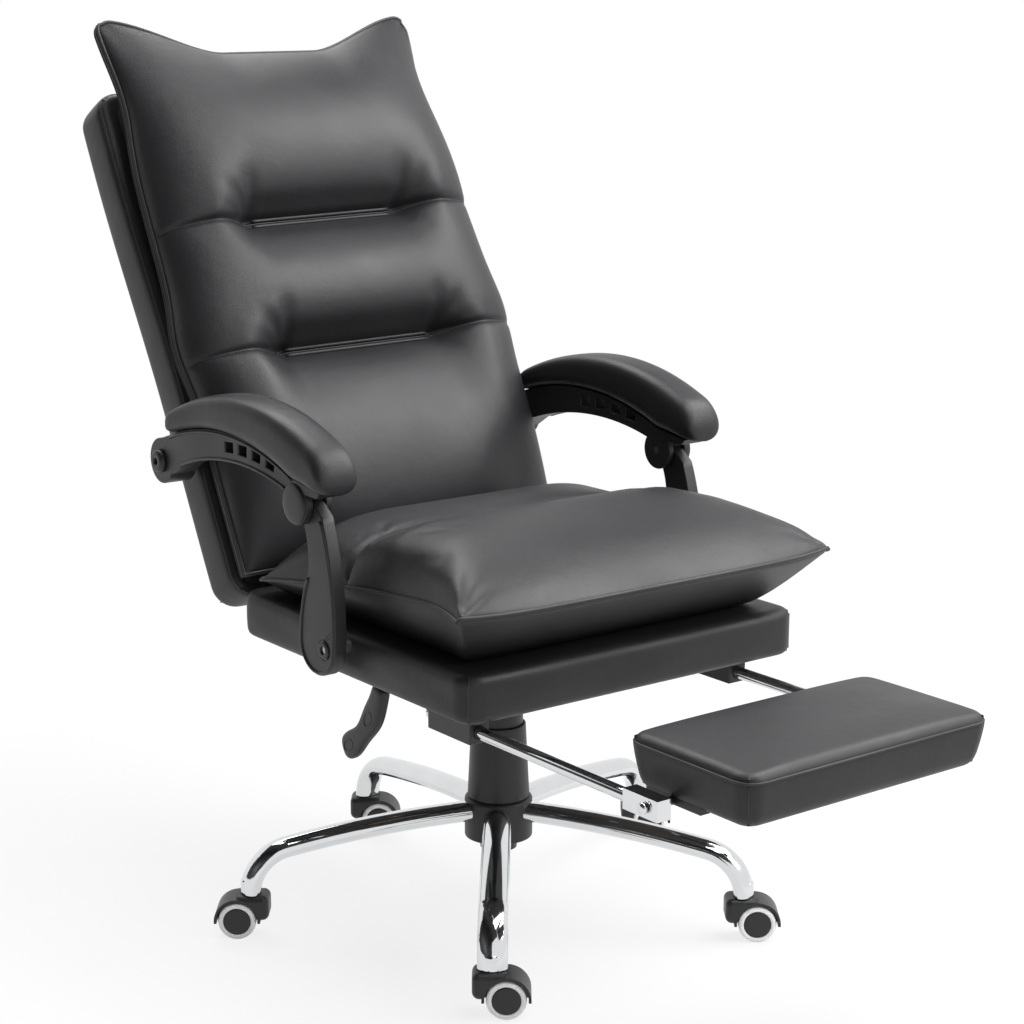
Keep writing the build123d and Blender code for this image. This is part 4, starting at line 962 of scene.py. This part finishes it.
        rear_swell = self.REAR_SWELL * (1 - u**4) * (1 - smooth_step(0.55, 1.0, s))
        rear = np.where(panel == 2, edge - self.TIP_REAR - rear_swell * free, edge)
        tuck = np.maximum(side_tuck, foot_tuck)
        rear = rear * free + (1 - free) * (self.BOARD + (edge - self.BOARD) * tuck)
        behind = on_back(x, up, np.maximum(rear, self.BOARD))
        pressed = (beyond < 0.5) & (((panel > 0) & (part <= 0)) | ((panel < 2) & (part >= 1)))
        return front, behind, pressed

    def cushion_dents(self, sizes, grid):
        """Depth of the overhangs above the strips, the outer seams and the creases at their ends."""
        x, up = grid[..., 0], grid @ UP
        dent = np.zeros_like(x)
        middle = 1 - smooth_step(0.8 * sizes.strip, 1.25 * sizes.strip, np.abs(x))
        heights, slants = self.seam_lines(sizes)
        for seam_up, slant in zip(heights[1:3], slants[1:3]):
            off_seam = up - seam_up - slant * x
            dent += self.OVERHANG * middle * groove(off_seam - self.OVERHANG_RISE, self.OVERHANG_WIDTH)
            dent += self.SEAM_DEPTH * (1 - middle) * groove(off_seam, self.SEAM_WIDTH)
            for side in (-1.0, 1.0):
                end = (side * sizes.strip, seam_up + slant * side * sizes.strip)
                dent += fan(x, up, end, side, self.STRIP_CREASES, self.CREASE_WIDTH)
        return dent

    def cushion(self, sizes):
        """Three stuffed panels with two tufted cross seams, swollen against them."""
        front, behind, pressed = self.cushion_shape(sizes)
        verts, faces, upper, lower = closed_shell(front, behind)
        cushion = add_piece("back_cushion_cover", verts, faces, "black_leather", "back")
        seams = [upper[row] for row in self.SEAM_ROWS]
        held = [rim(upper), lower[1:-1, 1:-1].ravel(), upper[pressed], *seams]
        stuff(cushion, np.unique(np.concatenate(held)))
        verts = places(cushion)
        dent = within_rim(self.cushion_dents(sizes, verts[upper] - np.array(HINGE)))
        verts[upper.ravel()] -= dent.reshape(-1, 1) * AHEAD
        set_places(cushion, verts)
        upholster(cushion, "back_cushion")
        edge_line = even_line(verts[rim(upper)], self.EDGE_POINTS, True)
        tube("back_cushion_piping", edge_line, sizes.piping, "piping", "back", closed=True)
        self.border(edge_line)
        in_strip = np.abs(2 * eased(self.COLUMNS) - 1) * sizes.half_width < sizes.strip
        for name, seam in zip(("lower", "upper"), seams):
            for place, shift in (("top", self.STRIP_GAP), ("bottom", -self.STRIP_GAP)):
                bead = verts[seam[in_strip]] + shift * UP + self.STRIP_LIFT * AHEAD
                tube(f"back_{name}_strip_{place}", bead, self.STRIP_RADIUS, "piping", "back", sides=8)
            line = verts[seam][1:-1] + self.SEAM_LIFT * AHEAD
            tube(f"back_{name}_seam", line, self.SEAM_RADIUS, "piping", "back", sides=6)


class ChairArms(bpy.types.Operator):
    """Dress the armrests: padded tops, raised lines and caps on the mouldings"""

    bl_idname = "chair.arms"
    bl_label = "Armrests"

    # Side arcs, each through three points (y, z)
    ARCH = ((0.3219, 0.641), (0.1603, 0.6672), (0.0, 0.6335))
    CREST = ((0.3139, 0.673), (0.1553, 0.7175), (-0.046, 0.6845))
    NOSE = ((-0.046, 0.6845), (-0.0735, 0.661), (-0.077, 0.624))
    NOSE_UNDER = ((-0.024, 0.631), (-0.05, 0.6275), (-0.077, 0.624))
    RIB = ((0.2909, 0.606), (0.1603, 0.6322), (0.0135, 0.6165))
    POST_FRONT = ((-0.041, 0.587), (-0.0625, 0.5075), (-0.0645, 0.424))
    POST_SOLE = ((-0.0645, 0.424), (-0.028, 0.3915), (0.0088, 0.424))
    POST_REAR = ((0.0088, 0.424), (0.004, 0.4687), (-0.0125, 0.513))
    MOULDING_FACE, POST_FACE, LIP_DROP = 0.312, 0.301, -0.004
    # Middles of the pivot covers on the left, and their profiles (radius, distance along the pivot)
    KNUCKLE = (0.312, 0.0, 0.603)
    REAR_LOBE = (0.3122, 0.34394, 0.60302)
    POST_FOOT = (0.3011, -0.04394, 0.42398)
    COVER = (
        (0.0, 0.0034), (0.012, 0.0033), (0.0225, 0.0029), (0.0249, 0.0021),
        (0.0256, 0.0008), (0.0256, 0.0002), (0.024, 0.0), (0.0, 0.0),
    )
    COLLAR = (
        (0.0048, 0.0054), (0.0048, 0.0078), (0.0056, 0.0084), (0.0125, 0.008), (0.0148, 0.0064),
        (0.0158, 0.003), (0.016, 0.0002), (0.0128, 0.0002), (0.0126, 0.0052),
    )
    WASHER = (
        (0.0052, 0.0), (0.0052, 0.0016), (0.0058, 0.002),
        (0.0106, 0.0018), (0.0116, 0.0008), (0.0116, 0.0),
    )

    def execute(self, context):
        sizes = context.scene.chair_arm
        for side, sign in SIDES.items():
            self.pad(sizes, side, sign)
            self.trim(sizes, side, sign)
            keep_nodes("black_plastic", f"arm_frame_{side}", soften=0.002)
            keep_nodes("black_plastic", f"arm_post_{side}", soften=0.0035)
            keep_nodes("plain_steel", f"arm_pivot_pin_{side}")
        keep_nodes("plain_steel", "arm_bolts", "post_bolts")
        return {"FINISHED"}

    def pad(self, sizes, side, sign):
        """Padded top that follows the arch and rolls over at its nose."""
        shares = np.linspace(0, 1, 46)
        roll = arc_through(*self.NOSE, np.linspace(0, 1, 14)[1:])
        under = np.vstack([arc_through(*self.ARCH, shares)[1:], self.NOSE_UNDER])
        over = np.vstack([arc_through(*self.CREST, shares), roll])
        stations = eased(60)
        under, over = self.spread(under, stations), self.spread(over, stations)
        rear = np.sqrt(1 - np.clip(1 - stations / 0.05, 0, 1) ** 2.2)
        nose = np.sqrt(1 - np.clip((stations - 0.9) / 0.1, 0, 1) ** 2.8)
        width = sizes.half_width * np.maximum(0.12, np.minimum(0.35 * rear + 0.65, nose))
        squeeze = 0.82 + 0.18 * np.clip(stations / 0.04, 0, 1)
        centres = (under + over) / 2 + sign * sizes.middle * ACROSS
        tall = squeeze[:, None] * (over - under) / 2
        wide = width[:, None] * ACROSS
        name, body = f"armrest_pad_{side}", f"arm_{side}"
        pad = lofted(name, centres, wide, tall, sizes.rounding, "black_leather", body)
        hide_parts(f"arm_pad_{side}")

    def spread(self, line, stations):
        """A side line (y, z) as points at the given shares of its length."""
        line = even_line(np.column_stack([np.zeros(len(line)), line]), 120)
        steps = np.linspace(0, 1, 120)
        return np.stack([np.interp(stations, steps, line[:, axis]) for axis in range(3)], axis=1)

    def trim(self, sizes, side, sign):
        """Raised lines along the moulding, and the covers over its pivots."""
        shares = np.linspace(0.02, 0.98, 40)
        for name, arc, drop in (("rib", self.RIB, 0.0), ("lip", self.ARCH, self.LIP_DROP)):
            line = arc_through(*arc, shares) + (0.0, drop)
            self.bead(f"arm_{name}_{side}", line, sign * self.MOULDING_FACE, sizes.bead, f"arm_{side}")
        steps = np.linspace(0, 1, 24)
        edges = (self.POST_FRONT, self.POST_SOLE, self.POST_REAR)
        line = np.vstack([arc_through(*edge, steps)[:-1] for edge in edges])
        self.bead(f"post_rim_{side}", line, sign * self.POST_FACE, sizes.bead, f"post_{side}")
        covers = (
            ("arm_knuckle_cover", self.COVER, self.KNUCKLE, f"arm_{side}", False),
            ("arm_bolt_cover", self.COLLAR, self.REAR_LOBE, "back", True),
            ("post_bolt_cover", self.WASHER, self.POST_FOOT, "seat", True),
        )
        for name, profile, middle, body, ring in covers:
            start = np.array(middle) * (sign, 1.0, 1.0)
            turned(f"{name}_{side}", profile, start, sign * ACROSS, "black_plastic", body, ring)

    def bead(self, name, line, x, radius, body):
        """A raised line on the face of a moulding, along points (y, z)."""
        line = np.column_stack([np.full(len(line), x), line])
        tube(name, line, radius, "black_plastic", body)


class ChairFootrest(bpy.types.Operator):
    """Dress the footrest: padded panel, rods, clevises and guides"""

    bl_idname = "chair.footrest"
    bl_label = "Footrest"

    SCREW = (
        (0.0, 0.0052), (0.003, 0.005), (0.0055, 0.0041), (0.0066, 0.0028),
        (0.0068, 0.0006), (0.0058, 0.0), (0.0, 0.0),
    )
    SCREW_SINK = 0.003
    GRID = (80, 50, 18)
    COVER, SEAM_FOOT, SEAM_HEAD = 0.003, 0.014, 0.012
    PIPING_DROP, PIPING_INSET, SEAM_RADIUS = 0.009, 0.0012, 0.0009

    def execute(self, context):
        sizes = context.scene.chair_rest
        low = np.array(REST_LOW) - (sizes.side, self.COVER, sizes.skirt)
        high = np.array(REST_HIGH) + (sizes.side, self.COVER, self.COVER)
        verts, faces = soft_block(low, high, sizes.corner, sizes.edge, self.GRID)
        middle, half = (low + high) / 2, (high - low) / 2
        part = (verts - middle) / half
        top = smooth_step(0.2, 0.75, part[:, 2])
        verts[:, 2] += sizes.crown * top * (1 - np.abs(part[:, 0]) ** 4) * (1 - np.abs(part[:, 1]) ** 4)
        taper = sizes.taper * ((1 - part[:, 2]) / 2) ** 1.6
        verts[:, :2] -= (part * half)[:, :2] / half[:2] * taper[:, None]
        panel = add_piece("footrest_panel_cover", verts, faces, "black_leather", "footrest_panel")
        upholster(panel, "footrest_pad")
        loop = plan_loop(low, high, sizes.corner, high[2] - self.PIPING_DROP, inset=self.PIPING_INSET)
        tube("footrest_piping_top", loop, sizes.piping, "piping", "footrest_panel", closed=True)
        heights = np.linspace(low[2] + self.SEAM_FOOT, high[2] - self.SEAM_HEAD, 12)
        drawn_in = sizes.taper * ((high[2] - heights) / (2 * half[2])) ** 1.6
        inset = drawn_in + sizes.corner * (1 - math.sqrt(0.5))
        corner_seams("footrest", "footrest_panel", middle, half, inset, heights, self.SEAM_RADIUS)
        pin_low, pin_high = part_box("footrest_hinge_strips")
        flip = JOINTS["footrest_flip"]["pos_m"]
        for side, sign in SIDES.items():
            out = sign * ACROSS
            end = pin_high.x if sign > 0 else pin_low.x
            start = np.array((end, flip[1], flip[2])) - self.SCREW_SINK * out
            name = f"footrest_screw_{side}"
            turned(name, self.SCREW, start, out, "polished_chrome", "footrest_panel")
        keep_nodes("polished_chrome", "footrest_rods")
        keep_nodes("polished_chrome", "footrest_clevises", soften=0.0015)
        keep_nodes("black_paint", "footrest_guides", "footrest_hinge_strips", soften=0.0012)
        keep_nodes("stained_plywood", "footrest_board")
        return {"FINISHED"}


class ChairCasters(bpy.types.Operator):
    """Turn the caster wheels with their treads and caps, and finish the hoods"""

    bl_idname = "chair.casters"
    bl_label = "Casters"

    # Profiles (radius, distance along the axle), and how far outside the wheel's middle they start
    TREAD = (
        (0.0178, 0.0012), (0.0195, 0.0), (0.0222, 0.0), (0.0241, 0.0012),
        (0.025, 0.0036), (0.025, 0.0124), (0.0241, 0.0148), (0.0225, 0.0157),
        (0.0205, 0.0159), (0.0186, 0.0154), (0.0179, 0.0142), (0.0178, 0.004),
    )
    CAP = (
        (0.0, 0.0158), (0.006, 0.0158), (0.012, 0.0157), (0.0158, 0.0156), (0.0172, 0.0154),
        (0.018, 0.0148), (0.0182, 0.0138), (0.0182, 0.002), (0.0176, 0.0008), (0.006, 0.0008),
        (0.0042, 0.0008), (0.0042, 0.011), (0.0, 0.011),
    )
    START = 0.005

    def execute(self, context):
        for number in CASTERS:
            keep_nodes("black_plastic", f"caster_{number}_hood", soften=0.0012)
            keep_nodes("plain_steel", f"caster_{number}_pins")
            for wheel, side in WHEELS.items():
                node = f"caster_{number}_wheel_{wheel}"
                roll = JOINTS[f"caster_{number}_roll_{wheel}"]
                axle = np.array(roll["axis"], float) * side
                start = np.array(roll["pos_m"], float) + axle * self.START
                name = f"caster_{number}_tread_{wheel}"
                tread = turned(name, self.TREAD, start, axle, "caster_tread", node, True)
                name = f"caster_{number}_cap_{wheel}"
                cap = turned(name, self.CAP, start, axle, "black_plastic", node)
                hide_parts(node)
                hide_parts(node)
        return {"FINISHED"}


class ChairBase(bpy.types.Operator):
    """Finish the star base, the gas lift, the mechanism and the lever"""

    bl_idname = "chair.base"
    bl_label = "Base and lift"

    GRIP = ((0.0, 0.349), (0.0272, 0.292), (0.092, 0.237))
    STATIONS = 40
    HALF_WIDTH, HALF_THICKNESS, THINNING, ROUNDING = 0.0125, 0.0092, 0.25, 3.2
    MARKS = {"upper": 15, "lower": 33}
    MARK_WIDTH, MARK_LENGTH, MARK_RADIUS, MARK_SINK = 0.0075, 0.012, 0.001, 0.0004

    def execute(self, context):
        keep_nodes("polished_chrome", "base_legs")
        keep_nodes("black_plastic", "base_hub", soften=0.0015)
        keep_nodes("black_plastic", "column_cover_lower", "column_cover_upper", soften=0.0015)
        self.grip()
        keep_nodes("black_plastic", "caster_sleeves")
        keep_nodes("black_paint", "seat_mechanism", "gas_cylinder")
        keep_nodes("black_paint", "recline_seat_brackets", "recline_back_brackets")
        keep_nodes("plain_steel", "gas_piston", "gas_button", "lever_pin", "mechanism_bolts")
        keep_nodes("plain_steel", "recline_pins", "lift_lever_rod")
        return {"FINISHED"}

    def grip(self):
        """Curved two-lobed paddle of the lift lever, with two ringed finger marks."""
        low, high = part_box("lift_lever_grip")
        shares = np.linspace(0, 1, self.STATIONS)
        line = arc_through(*self.GRIP, shares)
        line = np.column_stack([np.full(self.STATIONS, (low.x + high.x) / 2), line])
        way = np.gradient(line, axis=0)
        way /= np.linalg.norm(way, axis=1, keepdims=True)
        side = np.cross(way, ACROSS)
        lobes = 0.0055 * groove(shares - 0.36, 0.2) + 0.006 * groove(shares - 0.84, 0.16)
        root = np.sqrt(1 - np.clip(1 - shares / 0.08, 0, 1) ** 2)
        tip = np.sqrt(1 - np.clip((shares - 0.9) / 0.1, 0, 1) ** 2.4)
        ends = root * tip
        depth = self.HALF_THICKNESS * (1 - self.THINNING * shares)
        wide = ((self.HALF_WIDTH + lobes) * np.maximum(ends, 0.08))[:, None] * side
        thick = (np.maximum(ends, 0.3) * depth)[:, None] * ACROSS
        finish, body = "black_plastic", "lift_lever"
        grip = lofted("lift_lever_paddle", line, thick, wide, self.ROUNDING, finish, body)
        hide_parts("lift_lever_grip")
        angles = np.linspace(0, 2 * math.pi, 24, endpoint=False)
        for name, spot in self.MARKS.items():
            loop = line[spot] - (depth[spot] - self.MARK_SINK) * ACROSS
            loop = loop + self.MARK_WIDTH * np.outer(np.cos(angles), side[spot])
            loop += self.MARK_LENGTH * np.outer(np.sin(angles), way[spot])
            mark = f"lift_lever_{name}_mark"
            tube(mark, loop, self.MARK_RADIUS, finish, body, closed=True)


class ChairStage(bpy.types.Operator):
    """Make the floor, the lights, the backdrop and the camera"""

    bl_idname = "chair.stage"
    bl_label = "Stage"

    LAMPS = {
        "key": ((1.9, -2.5, 2.5), 1.7),
        "top": ((0.2, -0.9, 3.0), 1.6),
        "side": ((1.8, -0.6, 2.75), 1.6),
        "rear": ((0.2, 1.6, 2.9), 1.8),
    }
    LAMP_AIM = (0.0, 0.05, 0.55)
    FLAGS = {
        "ceiling_flag": [(-4, -4, 3.6), (4, -4, 3.6), (4, 4, 3.6), (-4, 4, 3.6)],
        "side_flag": [(-3.4, -4, 0.3), (-3.4, 4, 0.3), (-3.4, 4, 3.6), (-3.4, -4, 3.6)],
    }
    FLOOR = [(-40, -40, 0), (40, -40, 0), (40, 40, 0), (-40, 40, 0)]
    FADE_START, FADE_END, NEAR_WHITE = 0.7, 2.6, 0.8
    SENSOR = 36.0

    def execute(self, context):
        settings = context.scene.chair_studio
        context.scene.view_settings.view_transform = "Standard"
        self.floor()
        self.world(settings)
        for name, (place, size) in self.LAMPS.items():
            self.lamp(f"{name}_light", place, size, getattr(settings, name))
        for name, corners in self.FLAGS.items():
            self.flag(name, corners)
        self.camera(settings)
        return {"FINISHED"}

    def card(self, name, corners, material):
        """A flat sheet of the stage."""
        mesh = bpy.data.meshes.new(name)
        mesh.from_pydata(corners, [], [(0, 1, 2, 3)])
        mesh.materials.append(material)
        card = bpy.data.objects.new(name, mesh)
        bpy.context.scene.collection.objects.link(card)
        return card

    def flag(self, name, corners):
        """A dark card out of the picture that gives the bright metal something to mirror."""
        card = self.card(name, corners, FINISHES["black_paint"])
        card.visible_camera = False
        card.visible_diffuse = False
        card.visible_shadow = False

    def floor(self):
        """A plain pale floor that keeps a soft shadow and turns white further out."""
        material, surface, shader = new_material("pale_floor")
        surface.put(shader, Base_Color=(0.8, 0.8, 0.8, 1), Roughness=0.9)
        glow = surface.add("ShaderNodeEmission").outputs["Emission"]
        place = surface.add("ShaderNodeTexCoord").outputs["Object"]
        distance = surface.add("ShaderNodeVectorMath", "LENGTH")
        surface.links.new(place, distance.inputs[0])
        away = distance.outputs["Value"]
        far = surface.span(away, self.NEAR_WHITE, 1.0, self.FADE_START, self.FADE_END)
        seen = surface.combine("MULTIPLY", far, surface.direct())
        surface.mix_shaders(seen, shader.outputs["BSDF"], glow, "Material Output")
        self.card("floor", self.FLOOR, material)

    def world(self, settings):
        """White all round to the eye, softer as a light."""
        world = bpy.data.worlds.new("studio")
        bpy.context.scene.world = world
        surface = SurfaceNodes(world)
        shade = surface.nodes["Background"]
        surface.put(shade, Color=(1, 1, 1, 1), Strength=settings.ambient)
        white = surface.add("ShaderNodeBackground", Color=(1, 1, 1, 1)).outputs["Background"]
        surface.mix_shaders(surface.direct(), shade.outputs["Background"], white, "World Output")

    def lamp(self, name, place, size, power):
        """A square soft light aimed at the seat."""
        data = bpy.data.lights.new(name, "AREA")
        data.size = size
        data.energy = power
        lamp = bpy.data.objects.new(name, data)
        lamp.location = place
        aim = Vector(self.LAMP_AIM) - Vector(place)
        lamp.rotation_mode = "QUATERNION"
        lamp.rotation_quaternion = aim.to_track_quat("-Z", "Y")
        bpy.context.scene.collection.objects.link(lamp)

    def camera(self, settings):
        """Camera at the photograph's angle."""
        data = bpy.data.cameras.new("camera")
        data.lens = settings.lens
        data.sensor_width = self.SENSOR
        camera = bpy.data.objects.new("camera", data)
        level = math.cos(settings.tilt)
        x, y = math.sin(settings.heading) * level, -math.cos(settings.heading) * level
        back = Vector((x, y, math.sin(settings.tilt)))
        camera.location = settings.camera
        camera.rotation_mode = "QUATERNION"
        camera.rotation_quaternion = (-back).to_track_quat("-Z", "Y")
        bpy.context.scene.collection.objects.link(camera)
        bpy.context.scene.camera = camera


class ChairPanel(bpy.types.Panel):
    """Lists the steps and their sizes"""

    bl_idname = "VIEW3D_PT_chair"
    bl_label = "Office chair"
    bl_space_type = "VIEW_3D"
    bl_region_type = "UI"
    bl_category = "Chair"

    def draw(self, context):
        for operator in STEPS:
            self.layout.operator(operator.bl_idname)
        for group in GROUPS:
            column = self.layout.column(heading=group)
            settings = getattr(context.scene, group)
            for name in settings.bl_rna.properties.keys():
                if name not in ("rna_type", "name"):
                    column.prop(settings, name)


STEPS = (
    ChairFinishes,
    ChairSeat,
    ChairBack,
    ChairArms,
    ChairFootrest,
    ChairCasters,
    ChairBase,
    ChairStage,
)
GROUPS = {
    "chair_finish": ChairFinish,
    "chair_seat": SeatSizes,
    "chair_back": BackSizes,
    "chair_arm": ArmSizes,
    "chair_rest": RestSizes,
    "chair_studio": StudioSettings,
}


def register():
    """Registers the classes and their settings."""
    for group in (*GROUPS.values(), *STEPS, ChairPanel):
        bpy.utils.register_class(group)
    for name, group in GROUPS.items():
        setattr(bpy.types.Scene, name, PointerProperty(type=group))


def unregister():
    """Removes the settings and the classes."""
    for name in GROUPS:
        delattr(bpy.types.Scene, name)
    for group in (ChairPanel, *reversed(STEPS), *reversed(GROUPS.values())):
        bpy.utils.unregister_class(group)


def main():
    """Makes the chair."""
    register()
    bpy.ops.chair.finishes()
    bpy.ops.chair.seat()
    bpy.ops.chair.back()
    bpy.ops.chair.arms()
    bpy.ops.chair.footrest()
    bpy.ops.chair.casters()
    bpy.ops.chair.base()
    bpy.ops.chair.stage()
    bpy.context.view_layer.update()


if __name__ == "__main__":
    main()
